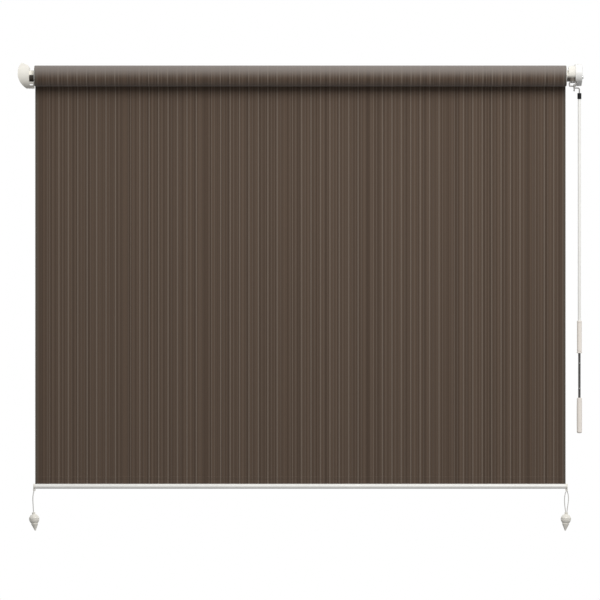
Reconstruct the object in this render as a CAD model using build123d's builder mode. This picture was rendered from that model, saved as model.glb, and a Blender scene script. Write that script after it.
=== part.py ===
from build123d import *
import os
from math import cos, pi, radians, sin, tan

# Crank roller shade, in millimetres. The origin lies on the wall, midway between the brackets,
# at the height of the roller's axis. +X is to the right, +Y into the wall, +Z up.

# Roller and cloth
roller_out = 55.0          # wall to roller axis
tube_radius = 31.75
tube_wall = 1.5
cloth_width = 1829.0
cloth_drop = 1380.0
cloth_thickness = 0.78
cloth_seat = 0.05          # wound cloth over the tube
roll_radius = 36.3
half_turns = 9
part_gap = 0.3             # between pieces that move apart
key_radius = 2.1
key_clearance = 0.1
key_wall = 1.4
key_slot = 2.4
key_depth = 3.9            # tube surface to the key's centre

# Ribs woven into the cloth: groups of narrow lines with a plain band after each group
rib_height = 0.28
rib_width = 3.4
rib_pitch = 32.5
ribs_in_group = 8
group_pitch = 279.0
first_group_x = -865.4

# Hem and bottom rail
hem_thickness = 1.6
hem_pocket = 3.0
bead_radius = 2.0
bead_clearance = 0.05
stitch_depth = 0.3
stitch_width = 0.7
first_stitch = 5.0         # hem's top edge to the first row
stitch_gap = 5.0           # first row to the second
tube_over = 0.5            # tube and rail past the cloth's edge
rail_radius = 8.5
rail_wall = 1.3
rail_slot = 2.4
rail_below = 33.5          # hem's top edge to the rail's axis
cap_length = 6.0
cap_radius = 9.0
cap_round = 2.0
cap_plug = 9.0
cap_clearance = 0.1
eyelet_out = 3.0           # rail's end to the eyelet
eyelet_below = 12.5        # rail's axis to the eyelet
eyelet_radius = 2.1
lug_radius = 4.6
lug_thickness = 3.0

# Hubs and plugs
face_gap = 1.0             # roller flange to bracket hub
plug_flange = 1.3
plug_flange_radius = 34.0
plug_length = 34.0
plug_clearance = 0.1
plug_wall = 2.6
plug_hub_radius = 13.5
plug_ribs = 6
hub_radius = 19.5
hub_recess = 9.0
hub_round = 1.5
idler_pin_radius = 6.0
idler_bush_radius = 9.0
running_fit = 0.05
clip_thickness = 1.5
nut_height = 5.0
nut_radius = 10.5
pin_over = 1.0             # pin past its nut

# Brackets; the widths run outwards from the hub faces
plate_thickness = 3.0
hole_out = 40.2            # hub face to the screw holes
hole_z = 16.0
hole_radius = 3.25
bracket_wall = 2.5
left_hub_length = 15.7     # hub face to the bracket
left_width = 38.5
left_top_inset = 12.1      # bowed side to the top corner
left_shoulder_inset = 6.4  # inner side to the shoulder
left_bottom_inset = 11.6   # inner side to the bottom corner
left_top_z = 45.8
left_shoulder_z = 37.9
left_shoulder_drop = 8.0
left_bottom_z = -42.0
lip_top_z = -20.6
lip_slot_length = 12.0
lip_slot_height = 4.5
cover_front = 93.0
cover_round = 41.0         # depth of the round front
cover_seat = 0.4           # cover to wall, and cover to what it covers
right_cover_width = 23.4
right_cover_radius = 32.4
right_cover_wall = 2.2
right_cover_round = 3.0
right_foot_z = -33.0
right_foot_y = -40.0
cover_boss = 7.5
cover_screw_radius = 2.0
cover_head = 4.8
cover_head_height = 2.4
cover_sink = 5.0
left_screw = (-30.0, 12.0)
right_screw = (-62.0, -4.5)
button_radius = 5.6
button_height = 4.6

# Gearbox
module = 2.0
wheel_teeth = 12
wheel_face = 7.0
wheel_tooth = 2.2          # thick at the pitch circle
worm_pitch_radius = 7.0
worm_thread = 2.6          # thick at the pitch circle
worm_turns = 2.5
flank = tan(radians(20))
addendum = 1.8
dedendum = 2.4
worm_out = 18.9            # hub face to the worm's axis
drum_y = -62.0
drum_z = 8.0
drum_radius = 28.5
drum_nose_radius = 24.5
drum_gap = 5.7             # hub face to the drum
drum_length = 23.0
gear_clearance = 0.6
journal_radius = 8.0
output_bush_radius = 11.0
square_shaft = 14.0
square_wheel = 10.0
square_clearance = 0.1
shaft_set = 2.0            # plug's end to the shaft's end
stub_radius = 4.0
stem_radius = 4.5
worm_bush_radius = 7.0
worm_pin_radius = 3.0
boss_radius = 11.0
boss_bottom = -19.5
lid_thickness = 3.0
screw_circle = 24.5
screw_radius = 1.75
screw_head = 3.4
screw_head_height = 2.2
screw_angles = (20, 150, 270)

# Drive eye and crank wand
eye_wire = 4.8
eye_width = 22.2
eye_top = -22.9
eye_bottom = -35.7
eye_corner = 3.6
spigot_radius = 2.5
hook_wire = 4.4
hook_gap = 0.3
hook_run = -42.0
hook_out = 5.1             # worm's axis to the hook's curl
hook_side = 7.0
hook_tip = -51.0
hook_bend = 6.0
hook_turn = 3.2
hook_arch = 4.5
hook_ball = 2.9
wand_out = 23.3            # worm's axis to the wand
ferrule_radius = 7.0
ferrule_round = 1.2
ferrule_top = -59.6
ferrule_bottom = -80.2
pole_radius = 5.25
grip_top = -843.0
grip_bottom = -954.0
grip_radius = 8.25
grip_round = 0.8
collar_radius = 8.8
collar_height = 6.0
collar_round = 1.0
fork_stem = 15.0
arm_radius = 4.15
elbow_z = -988.0
knuckle_z = -1075.2
elbow_pin_radius = 1.5
tang = 2.6
fork_slot = 2.9
shoulder = 4.6
long_shoulder = 7.5
stub_bottom = -1107.0
handle_rod_radius = 3.0
handle_rod_set = 12.0      # rod inside the knuckle
lower_grip_top = -1107.5
lower_grip_bottom = -1229.0
lower_grip_radius = 9.2
lower_grip_neck = 8.5
lower_grip_belly = 57.5    # top to the widest place
lower_grip_foot = 8.9      # radius above the round end
lower_grip_flat = 4.0
lower_grip_end = 5.0       # height of the round end
lower_grip_bevel = 1.0
retainer_radius = 5.0
retainer_z = -1196.0

# Cord loops and weights
cord_diameter = 3.0
neck_below = 77.0          # eyelet to the weight's neck
left_neck_out = 2.2        # eyelet to the neck, sideways
right_neck_out = -1.0
left_lean = 5.4
right_lean = -3.5

# Weight, from the neck down: radii and depths
neck_bevel = 1.0
neck_radius = 6.0
neck_waist = 5.2
neck_depth = 6.5
dome_radius = 13.6
dome_depth = 12.4
rim_radius = 18.2
rim_depth = 20.5
rim_under = 17.5
rim_foot = 23.5
bowl_radius = 15.9
bowl_depth = 31.5
bowl_foot_radius = 12.6
bowl_foot = 36.2
waist_radius = 11.2
waist_depth = 38.0
cone_radius = 12.4
cone_depth = 40.0
point_radius = 3.2
point_start = 60.2
point_round = 2.6
point_round_depth = 62.4
point_flat = 1.2
point_depth = 63.5

# Worked out from the sizes above
axis_y = -roller_out
cloth_half = cloth_width / 2
tube_half = cloth_half + tube_over
flange_x = tube_half + plug_flange
hub_x = flange_x + face_gap
hole_x = hub_x + hole_out
left_inner_x = -hub_x - left_hub_length
left_outer_x = left_inner_x - left_width
left_top_x = left_outer_x + left_top_inset
left_shoulder_x = left_inner_x - left_shoulder_inset
left_bottom_x = left_inner_x - left_bottom_inset
drum_inner_x = hub_x + drum_gap
right_cover_inner_x = drum_inner_x + drum_length
right_cover_outer_x = right_cover_inner_x + right_cover_width
worm_x = hub_x + worm_out
hook_x = worm_x + hook_out
wand_x = worm_x + wand_out
rail_z = -cloth_drop - rail_below
eyelet_x = tube_half + eyelet_out
eyelet_z = rail_z - eyelet_below
neck_z = eyelet_z - neck_below
cloth_back = axis_y + roll_radius
cloth_mid = cloth_back - cloth_thickness / 2
turn_pitch = (roll_radius - tube_radius - cloth_seat - cloth_thickness) / ((half_turns - 1) / 2)
key_y = axis_y - tube_radius + key_depth
groove_radius = key_radius + key_clearance
wheel_radius = module * wheel_teeth / 2
worm_y = axis_y - wheel_radius - worm_pitch_radius
lead = pi * module
bore_radius = tube_radius - tube_wall
lid_x = right_cover_inner_x + lid_thickness
arm_x = lid_x + plate_thickness
left_arm_x = left_inner_x - bracket_wall - cover_seat
worm_root = worm_pitch_radius - dedendum
thread_base = worm_thread / 2 + dedendum * flank
pocket_z = worm_turns * lead / 2 + thread_base + gear_clearance

os.makedirs("parts", exist_ok=True)


def save(piece, label):
    """Label one finished piece and write it."""
    piece.part.label = label
    export_step(piece.part, f"parts/{label}.step")


def rod(radius, start, end, y=axis_y, z=0.0, bore=0.0):
    """A round bar along X, from start to end, with an optional bore."""
    with BuildPart() as bar:
        with BuildSketch(Plane.YZ.offset(start)):
            with Locations((y, z)):
                Circle(radius)
                if bore:
                    Circle(bore, mode=Mode.SUBTRACT)
        extrude(amount=end - start)
    return bar


def post(radius, bottom, top, x=wand_x, bore=0.0, edge=0.0):
    """A round bar along Z in the wand's plane, with an optional bore and rounded rims."""
    with BuildPart() as bar:
        with BuildSketch(Plane.XY.offset(bottom)):
            with Locations((x, worm_y)):
                Circle(radius)
                if bore:
                    Circle(bore, mode=Mode.SUBTRACT)
        extrude(amount=top - bottom)
        if edge:
            rims = bar.edges().filter_by(GeomType.CIRCLE).filter_by(lambda e: e.radius > radius - 0.01)
            fillet(rims, edge)
    return bar


# Roller tube with the groove that holds the cloth's key strip
with BuildPart() as roller_tube:
    with BuildSketch(Plane.YZ.offset(-tube_half)):
        with Locations((axis_y, 0)):
            Circle(tube_radius)
            Circle(bore_radius, mode=Mode.SUBTRACT)
        with Locations((key_y, 0)):
            Circle(groove_radius + key_wall)
            Circle(groove_radius, mode=Mode.SUBTRACT)
            with Locations((-key_depth, 0)):
                Rectangle(2 * key_depth, key_slot, mode=Mode.SUBTRACT)
    extrude(amount=2 * tube_half)
save(roller_tube, "roller_tube")

with BuildPart() as cloth_key_strip:
    with BuildSketch(Plane.YZ.offset(-cloth_half)):
        with Locations((key_y, 0)):
            Circle(key_radius)
            with Locations((-key_depth / 2, 0)):
                Rectangle(key_depth - 2 * key_clearance, key_slot - 4 * key_clearance)
    extrude(amount=cloth_width)
save(cloth_key_strip, "cloth_key_strip")


def spiral(inset):
    """Half turns of a spiral, each tangent to the next, from the back over the top and inwards."""
    for i in range(half_turns):
        centre = axis_y - (turn_pitch / 2 if i % 2 else 0)
        CenterArc((centre, 0), roll_radius - inset - i * turn_pitch / 2, 180 * (i % 2), 180)


# Wound cloth: one strip, turn on turn
with BuildPart() as wound_cloth:
    with BuildSketch(Plane.YZ.offset(-cloth_half)):
        with BuildLine():
            spiral(0)
            spiral(cloth_thickness)
            inner_end = axis_y - roll_radius + (half_turns - 1) * turn_pitch / 2
            Line((cloth_back, 0), (cloth_back - cloth_thickness, 0))
            Line((inner_end, 0), (inner_end + cloth_thickness, 0))
        make_face()
    extrude(amount=cloth_width)
save(wound_cloth, "wound_cloth")

# Hanging cloth: a plain sheet with raised ribs on the room side
rib_places = []
group_x = first_group_x - group_pitch
while group_x < cloth_half:
    for i in range(ribs_in_group):
        rib_x = group_x + i * rib_pitch
        if abs(rib_x) < cloth_half - rib_width:
            rib_places.append((rib_x, cloth_back - cloth_thickness / 2))
    group_x += group_pitch

with BuildPart() as hanging_cloth:
    with BuildSketch(Plane.XY.offset(-cloth_drop + part_gap)):
        with Locations((0, cloth_back - (cloth_thickness - rib_height) / 2)):
            Rectangle(cloth_width, cloth_thickness - rib_height)
        with Locations(*rib_places):
            Rectangle(rib_width, cloth_thickness)
    extrude(amount=cloth_drop - 2 * part_gap)
save(hanging_cloth, "hanging_cloth")

# Hem: the doubled end of the cloth, two stitch lines, and a pocket round the bead
bead_z = rail_z + rail_radius - rail_wall - hem_pocket - key_clearance
with BuildPart() as cloth_hem:
    with BuildSketch(Plane.YZ.offset(-cloth_half)):
        with Locations((cloth_mid, (bead_z - cloth_drop) / 2)):
            Rectangle(hem_thickness, -cloth_drop - bead_z)
        with Locations((cloth_mid, bead_z)):
            Circle(hem_pocket)
            Circle(bead_radius + bead_clearance, mode=Mode.SUBTRACT)
        for depth in (first_stitch, first_stitch + stitch_gap):
            with Locations((cloth_mid - hem_thickness / 2, -cloth_drop - depth)):
                Rectangle(2 * stitch_depth, stitch_width, mode=Mode.SUBTRACT)
    extrude(amount=cloth_width)
save(cloth_hem, "cloth_hem")
save(rod(bead_radius, -cloth_half, cloth_half, cloth_mid, bead_z), "hem_bead")

# Bottom rail: a round tube, slotted along its top for the hem
with BuildPart() as bottom_rail:
    with BuildSketch(Plane.YZ.offset(-tube_half)):
        with Locations((cloth_mid, rail_z)):
            Circle(rail_radius)
            Circle(rail_radius - rail_wall, mode=Mode.SUBTRACT)
            with Locations((0, rail_radius)):
                Rectangle(rail_slot, 3 * rail_wall, mode=Mode.SUBTRACT)
    extrude(amount=2 * tube_half)
save(bottom_rail, "bottom_rail")


def rail_cap(side):
    """An end cap of the rail: a round end, a plug under the bead and a lug with an eyelet."""
    inner_x = side * tube_half
    outer_x = side * (tube_half + cap_length)
    with BuildPart() as cap:
        with BuildSketch(Plane.YZ.offset(inner_x)):
            with Locations((cloth_mid, rail_z)):
                Circle(cap_radius)
        extrude(amount=outer_x - inner_x)
        fillet(cap.edges().filter_by(GeomType.CIRCLE).sort_by(Axis.X)[-1 if side > 0 else 0], cap_round)
        with BuildSketch(Plane.YZ.offset(inner_x)):
            with Locations((cloth_mid, rail_z)):
                Circle(rail_radius - rail_wall - cap_clearance)
                with Locations((0, cap_radius)):
                    Rectangle(2 * cap_radius, 2 * cap_radius, mode=Mode.SUBTRACT)
        extrude(amount=-side * cap_plug)
        with BuildSketch(Plane.XZ.offset(-cloth_mid - lug_thickness / 2)):
            with Locations((side * eyelet_x, eyelet_z)):
                Circle(lug_radius)
            with Locations((side * (tube_half + cap_length / 2), (rail_z + eyelet_z) / 2)):
                Rectangle(cap_length, eyelet_below)
            with Locations((side * eyelet_x, eyelet_z)):
                Circle(eyelet_radius, mode=Mode.SUBTRACT)
        extrude(amount=lug_thickness)
    return cap


save(rail_cap(-1), "left_rail_cap")
save(rail_cap(1), "right_rail_cap")


def roller_plug(side):
    """A tube plug: flange, ribbed shell, and a hub that is bored by its caller."""
    outer_x = side * flange_x
    seat_x = side * tube_half
    inner_x = side * (tube_half - plug_length)
    shell_radius = bore_radius - plug_clearance
    with BuildPart() as plug:
        with BuildSketch(Plane.YZ.offset(seat_x)):
            with Locations((axis_y, 0)):
                Circle(plug_flange_radius)
        extrude(amount=outer_x - seat_x)
        with BuildSketch(Plane.YZ.offset(seat_x)):
            with Locations((axis_y, 0)):
                Circle(shell_radius)
                Circle(shell_radius - plug_wall, mode=Mode.SUBTRACT)
                Circle(plug_hub_radius)
            with Locations((axis_y, 0)):
                for i in range(plug_ribs // 2):
                    Rectangle(2 * shell_radius - plug_wall, plug_wall, rotation=30 + i * 360 / plug_ribs)
            with Locations((key_y, 0)):
                Circle(groove_radius + key_wall + plug_clearance, mode=Mode.SUBTRACT)
        extrude(amount=inner_x - seat_x)
    return plug


with BuildPart() as idler_plug:
    add(roller_plug(-1).part)
    with BuildSketch(Plane.YZ.offset(-flange_x)):
        with Locations((axis_y, 0)):
            Circle(idler_bush_radius)
    extrude(amount=plug_flange + plug_length, mode=Mode.SUBTRACT)
save(idler_plug, "idler_plug")

with BuildPart() as drive_plug:
    add(roller_plug(1).part)
    with BuildSketch(Plane.YZ.offset(flange_x)):
        with Locations((axis_y, 0)):
            Rectangle(square_shaft + square_clearance, square_shaft + square_clearance)
    extrude(amount=-plug_flange - plug_length, mode=Mode.SUBTRACT)
save(drive_plug, "drive_plug")

# Left end: pin, bushing in the plug, clip behind the plug and nut behind the bracket arm
plug_end_x = tube_half - plug_length
pin_end_x = -plug_end_x + 2 * clip_thickness
pin_start_x = left_arm_x - plate_thickness - nut_height - pin_over
save(rod(idler_pin_radius, pin_start_x, pin_end_x), "idler_pin")
save(rod(idler_bush_radius, -flange_x, -plug_end_x, bore=idler_pin_radius + running_fit), "idler_bushing")
clip_x = -plug_end_x + part_gap
save(rod(idler_bush_radius, clip_x, clip_x + clip_thickness, bore=idler_pin_radius), "idler_clip")

with BuildPart() as idler_nut:
    with BuildSketch(Plane.YZ.offset(left_arm_x - plate_thickness)):
        with Locations((axis_y, 0)):
            RegularPolygon(nut_radius, 6)
            Circle(idler_pin_radius, mode=Mode.SUBTRACT)
    extrude(amount=-nut_height)
save(idler_nut, "idler_nut")

# Left hub: the round collar between the bracket arm and the roll
with BuildPart() as left_hub:
    with BuildSketch(Plane.YZ.offset(left_arm_x)):
        with Locations((axis_y, 0)):
            Circle(hub_radius)
            Circle(idler_pin_radius, mode=Mode.SUBTRACT)
    extrude(amount=-hub_x - left_arm_x)
    with BuildSketch(Plane.YZ.offset(-hub_x)):
        with Locations((axis_y, 0)):
            Circle(hub_radius - 2 * bracket_wall)
            Circle(idler_pin_radius + 2 * bracket_wall, mode=Mode.SUBTRACT)
    extrude(amount=-hub_recess, mode=Mode.SUBTRACT)
    fillet(left_hub.edges().filter_by(GeomType.CIRCLE).filter_by(lambda e: e.radius > hub_radius - 0.01)
           .sort_by(Axis.X)[-1], hub_round)
save(left_hub, "left_hub")


def left_front_lines():
    """The left bracket as it is seen from the front: a bowed outer side and a lip under the hub."""
    top = (left_top_x, left_top_z)
    bottom = (left_bottom_x, left_bottom_z)
    shoulder = (left_shoulder_x, left_shoulder_z)
    shoulder_low = (left_inner_x, left_shoulder_z - left_shoulder_drop)
    Polyline(top, shoulder, shoulder_low, (left_inner_x, lip_top_z), (-hub_x, lip_top_z),
             (-hub_x, left_bottom_z), bottom)
    ThreePointArc(bottom, (left_outer_x, (left_top_z + left_bottom_z) / 2), top)


def left_side_lines(back):
    """The left bracket as it is seen from the side: square at the wall and round at the front."""
    round_y = -cover_front + cover_round
    Polyline((round_y, left_top_z), (back, left_top_z), (back, left_bottom_z), (round_y, left_bottom_z))
    ThreePointArc((round_y, left_bottom_z), (-cover_front, (left_top_z + left_bottom_z) / 2),
                  (round_y, left_top_z))


def left_form(inset, back):
    """The left bracket's moulded form, or its inside when an inset is given."""
    with BuildPart() as form:
        with BuildSketch(Plane.YZ.offset(left_outer_x)):
            with BuildLine():
                left_side_lines(back)
            make_face()
            if inset:
                offset(amount=-inset, mode=Mode.REPLACE)
        extrude(amount=-hub_x - left_outer_x)
        with BuildSketch(Plane.XZ.offset(-back - 1)):
            with BuildLine():
                left_front_lines()
            make_face()
            if inset:
                offset(amount=-inset, mode=Mode.REPLACE)
        extrude(amount=cover_front + back + 2, mode=Mode.INTERSECT)
    return form


# Left wall plate: a flange with two screw holes, and an arm that carries the pin
with BuildPart() as left_wall_plate:
    with BuildSketch(Plane.XZ):
        with BuildLine():
            left_front_lines()
        make_face()
        offset(amount=-bracket_wall - cover_seat, mode=Mode.REPLACE)
        with Locations((left_arm_x + cover_front / 2, 0)):
            Rectangle(cover_front, 2 * cover_front, mode=Mode.SUBTRACT)
        with Locations((-hole_x, hole_z), (-hole_x, -hole_z)):
            Circle(hole_radius, mode=Mode.SUBTRACT)
    extrude(amount=plate_thickness)
    with BuildSketch(Plane.YZ.offset(left_arm_x)):
        with Locations((axis_y, 0)):
            Circle(hub_radius)
        with Locations((axis_y / 2, 0)):
            Rectangle(roller_out, 2 * hub_radius)
        with Locations((axis_y, 0)):
            Circle(idler_pin_radius, mode=Mode.SUBTRACT)
    extrude(amount=-plate_thickness)
save(left_wall_plate, "left_wall_plate")


def screw(head_x, tip_x, place, radius, head_radius, head_height):
    """A screw along X with a round head and a socket; head_x is the head's seat."""
    side = 1 if head_x > tip_x else -1
    with BuildPart() as body:
        with BuildSketch(Plane.YZ.offset(tip_x)):
            with Locations(place):
                Circle(radius)
        extrude(amount=head_x - tip_x)
        with BuildSketch(Plane.YZ.offset(head_x)):
            with Locations(place):
                Circle(head_radius)
        extrude(amount=side * head_height)
        fillet(body.edges().filter_by(GeomType.CIRCLE).sort_by(Axis.X)[-1 if side > 0 else 0],
               head_height / 3)
        with BuildSketch(Plane.YZ.offset(head_x + side * head_height)):
            with Locations(place):
                RegularPolygon(radius, 6)
        extrude(amount=-side * head_height / 2, mode=Mode.SUBTRACT)
    return body


# Left bracket cover: a moulded shell, open to the wall, with a hole for the hub
left_seat_x = left_arm_x - plate_thickness
left_head_x = left_outer_x + cover_sink
with BuildPart() as left_bracket_cover:
    add(left_form(0, -cover_seat).part)
    add(left_form(bracket_wall, 2 * bracket_wall).part, mode=Mode.SUBTRACT)
    with BuildSketch(Plane.YZ.offset(left_inner_x - 2 * bracket_wall)):
        with Locations((axis_y, 0)):
            Circle(hub_radius + cover_seat)
    extrude(amount=3 * bracket_wall, mode=Mode.SUBTRACT)
    with BuildSketch(Plane.XZ.offset(cover_front)):
        with Locations(((left_inner_x - hub_x) / 2, (lip_top_z + left_bottom_z) / 2)):
            SlotOverall(lip_slot_length, lip_slot_height)
    extrude(amount=-cover_round / 2, mode=Mode.SUBTRACT)
    with BuildSketch(Plane.YZ.offset(left_seat_x - cover_seat)):
        with Locations(left_screw):
            Circle(cover_boss)
    extrude(amount=left_outer_x + bracket_wall - left_seat_x + cover_seat)
    with BuildSketch(Plane.YZ.offset(left_outer_x)):
        with Locations(left_screw):
            Circle(cover_head + cover_seat)
    extrude(amount=cover_sink, mode=Mode.SUBTRACT)
    with BuildSketch(Plane.YZ.offset(left_outer_x)):
        with Locations(left_screw):
            Circle(cover_screw_radius)
    extrude(amount=left_seat_x - left_outer_x, mode=Mode.SUBTRACT)
save(left_bracket_cover, "left_bracket_cover")
save(screw(left_head_x, left_seat_x, left_screw, cover_screw_radius, cover_head, cover_head_height),
     "left_cover_screw")


def wheel_tooth_half(radius):
    """Half the thickness of a wheel tooth at a radius."""
    return wheel_tooth / 2 + (wheel_radius - radius) * flank


def thread_half(radius):
    """Half the thickness of the worm's thread at a radius."""
    return worm_thread / 2 + (worm_pitch_radius - radius) * flank


# Worm wheel: twelve teeth, with a gap facing the worm
wheel_start = worm_x - wheel_face / 2
wheel_root = wheel_radius - dedendum
wheel_tip = wheel_radius + addendum
with BuildPart() as worm_wheel:
    with BuildSketch(Plane.YZ.offset(wheel_start)):
        with Locations((axis_y, 0)):
            Circle(wheel_root)
            with PolarLocations(0, wheel_teeth, start_angle=180 / wheel_teeth):
                base = wheel_root - addendum / 2
                Polygon((base, -wheel_tooth_half(base)), (wheel_tip, -wheel_tooth_half(wheel_tip)),
                        (wheel_tip, wheel_tooth_half(wheel_tip)), (base, wheel_tooth_half(base)), align=None)
            Rectangle(square_wheel, square_wheel, mode=Mode.SUBTRACT)
    extrude(amount=wheel_face)
save(worm_wheel, "worm_wheel")

# Drive shaft: square in the plug, round in its bushing, square in the wheel, round in the lid
journal_start = hub_x - face_gap / 2
journal_end = wheel_start - part_gap
shaft_steps = (
    (tube_half - plug_length + shaft_set, journal_start, square_shaft, 0),
    (journal_start, journal_end, 0, journal_radius),
    (journal_end, worm_x + wheel_face / 2 + part_gap, square_wheel - square_clearance, 0),
    (worm_x + wheel_face / 2 + part_gap, lid_x - part_gap, 0, stub_radius),
)
with BuildPart() as drive_shaft:
    for start, end, square, radius in shaft_steps:
        with BuildSketch(Plane.YZ.offset(start)):
            with Locations((axis_y, 0)):
                if square:
                    Rectangle(square, square)
                else:
                    Circle(radius)
        extrude(amount=end - start)
save(drive_shaft, "drive_shaft")

# Gear housing: a drum that widens to the lid, the roller's collar, and a boss for the worm
screw_places = [(drum_y + screw_circle * cos(radians(a)), drum_z + screw_circle * sin(radians(a)))
                for a in screw_angles]
pocket_start = wheel_start - gear_clearance
worm_pocket = worm_pitch_radius + addendum + gear_clearance
with BuildPart() as gear_housing:
    with BuildSketch(Plane.YZ.offset(drum_inner_x)):
        with Locations((drum_y, drum_z)):
            Circle(drum_nose_radius)
    with BuildSketch(Plane.YZ.offset(right_cover_inner_x)):
        with Locations((drum_y, drum_z)):
            Circle(drum_radius)
    loft()
    with BuildSketch(Plane.YZ.offset(hub_x)):
        with Locations((axis_y, 0)):
            Circle(hub_radius)
    extrude(amount=pocket_start - hub_x)
    with BuildSketch(Plane.XY.offset(boss_bottom)):
        with Locations((worm_x, worm_y)):
            Circle(boss_radius)
        with Locations((right_cover_inner_x + boss_radius, worm_y)):
            Rectangle(2 * boss_radius, 2 * boss_radius, mode=Mode.SUBTRACT)
    extrude(amount=drum_z - boss_bottom)
    with BuildSketch(Plane.YZ.offset(pocket_start)):
        with Locations((axis_y, 0)):
            Circle(wheel_tip + gear_clearance)
    extrude(amount=right_cover_inner_x - pocket_start, mode=Mode.SUBTRACT)
    with BuildSketch(Plane.XY.offset(-pocket_z)):
        with Locations((worm_x, worm_y)):
            Circle(worm_pocket)
        with Locations(((worm_x + right_cover_inner_x) / 2, worm_y)):
            Rectangle(right_cover_inner_x - worm_x, 2 * worm_pocket)
    extrude(amount=2 * pocket_z, mode=Mode.SUBTRACT)
    with BuildSketch(Plane.XY.offset(boss_bottom)):
        with Locations((worm_x, worm_y)):
            Circle(worm_bush_radius)
    extrude(amount=-pocket_z - boss_bottom, mode=Mode.SUBTRACT)
    with BuildSketch(Plane.XY.offset(pocket_z)):
        with Locations((worm_x, worm_y)):
            Circle(worm_pin_radius + running_fit)
    extrude(amount=2 * worm_pin_radius, mode=Mode.SUBTRACT)
    with BuildSketch(Plane.YZ.offset(hub_x)):
        with Locations((axis_y, 0)):
            Circle(output_bush_radius)
    extrude(amount=pocket_start - hub_x, mode=Mode.SUBTRACT)
    with BuildSketch(Plane.YZ.offset(right_cover_inner_x)):
        with Locations(*screw_places):
            Circle(screw_radius)
    extrude(amount=-4 * plate_thickness, mode=Mode.SUBTRACT)
save(gear_housing, "gear_housing")
save(rod(output_bush_radius, hub_x, pocket_start, bore=journal_radius + running_fit), "output_bushing")
save(post(worm_bush_radius, boss_bottom, -pocket_z, worm_x, stem_radius + running_fit), "worm_bushing")

with BuildPart() as gear_lid:
    with BuildSketch(Plane.YZ.offset(right_cover_inner_x)):
        with Locations((drum_y, drum_z)):
            Circle(drum_radius)
    extrude(amount=lid_thickness)
    with BuildSketch(Plane.YZ.offset(right_cover_inner_x)):
        with Locations((axis_y, 0)):
            Circle(2 * stub_radius)
    extrude(amount=worm_x + wheel_face / 2 + 2 * part_gap - right_cover_inner_x)
    with BuildSketch(Plane.YZ.offset(lid_x)):
        with Locations((axis_y, 0)):
            Circle(stub_radius + running_fit)
        with Locations(*screw_places):
            Circle(screw_radius)
    extrude(amount=-2 * gear_clearance - lid_x + worm_x, mode=Mode.SUBTRACT)
save(gear_lid, "gear_lid")

with BuildPart() as gear_screws:
    for place in screw_places:
        add(screw(arm_x, right_cover_inner_x - 3 * plate_thickness, place, screw_radius, screw_head,
                  screw_head_height).part)
save(gear_screws, "gear_screws")


def right_side_lines(back):
    """The right bracket as it is seen from the side: round over the gearbox, with a foot below."""
    top = (drum_y, drum_z + right_cover_radius)
    bottom = (drum_y, drum_z - right_cover_radius)
    Polyline(top, (back, top[1]), (back, right_foot_z), (right_foot_y, right_foot_z), bottom)
    ThreePointArc(bottom, (drum_y - right_cover_radius, drum_z), top)


# Right wall plate: a flange with two screw holes and an arm that the gearbox is screwed to
with BuildPart() as right_wall_plate:
    inset = right_cover_wall + cover_seat
    plate_top = drum_z + right_cover_radius - inset
    plate_bottom = right_foot_z + inset
    with BuildSketch(Plane.XZ):
        with Locations(((lid_x + right_cover_outer_x - inset) / 2, (plate_top + plate_bottom) / 2)):
            Rectangle(right_cover_outer_x - inset - lid_x, plate_top - plate_bottom)
        with Locations((hole_x, hole_z), (hole_x, -hole_z)):
            Circle(hole_radius, mode=Mode.SUBTRACT)
    extrude(amount=plate_thickness)
    with BuildSketch(Plane.YZ.offset(lid_x)):
        with BuildLine():
            right_side_lines(0)
        make_face()
        offset(amount=-inset, mode=Mode.REPLACE)
        with Locations((-inset / 2, (plate_top + plate_bottom) / 2)):
            Rectangle(inset, plate_top - plate_bottom)
        with Locations(*screw_places):
            Circle(screw_radius, mode=Mode.SUBTRACT)
        with Locations(right_screw):
            Circle(cover_screw_radius, mode=Mode.SUBTRACT)
    extrude(amount=plate_thickness)
save(right_wall_plate, "right_wall_plate")

# Right bracket cover: a moulded cap over the gearbox's outer face and the bracket arm
with BuildPart() as right_bracket_cover:
    with BuildSketch(Plane.YZ.offset(right_cover_inner_x)):
        with BuildLine():
            right_side_lines(-cover_seat)
        make_face()
    extrude(amount=right_cover_outer_x - right_cover_inner_x)
    fillet(right_bracket_cover.faces().sort_by(Axis.X)[-1].edges(), right_cover_round)
    with BuildSketch(Plane.YZ.offset(right_cover_inner_x)):
        with BuildLine():
            right_side_lines(2 * right_cover_wall)
        make_face()
        offset(amount=-right_cover_wall, mode=Mode.REPLACE)
    extrude(amount=right_cover_outer_x - right_cover_inner_x - right_cover_wall, mode=Mode.SUBTRACT)
    with BuildSketch(Plane.YZ.offset(arm_x)):
        with Locations(right_screw):
            Circle(button_radius)
    extrude(amount=right_cover_outer_x - arm_x - right_cover_wall / 2)
    with BuildSketch(Plane.YZ.offset(arm_x)):
        with Locations(right_screw):
            Circle(cover_screw_radius)
    extrude(amount=right_cover_outer_x - arm_x, mode=Mode.SUBTRACT)
    with BuildSketch(Plane.XY.offset(boss_bottom)):
        with Locations((worm_x, worm_y)):
            Circle((eye_width + eye_wire) / 2 + gear_clearance)
    extrude(amount=-right_cover_radius, mode=Mode.SUBTRACT)
save(right_bracket_cover, "right_bracket_cover")
save(screw(right_cover_outer_x, lid_x, right_screw, cover_screw_radius, button_radius, button_height),
     "right_cover_screw")

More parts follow.
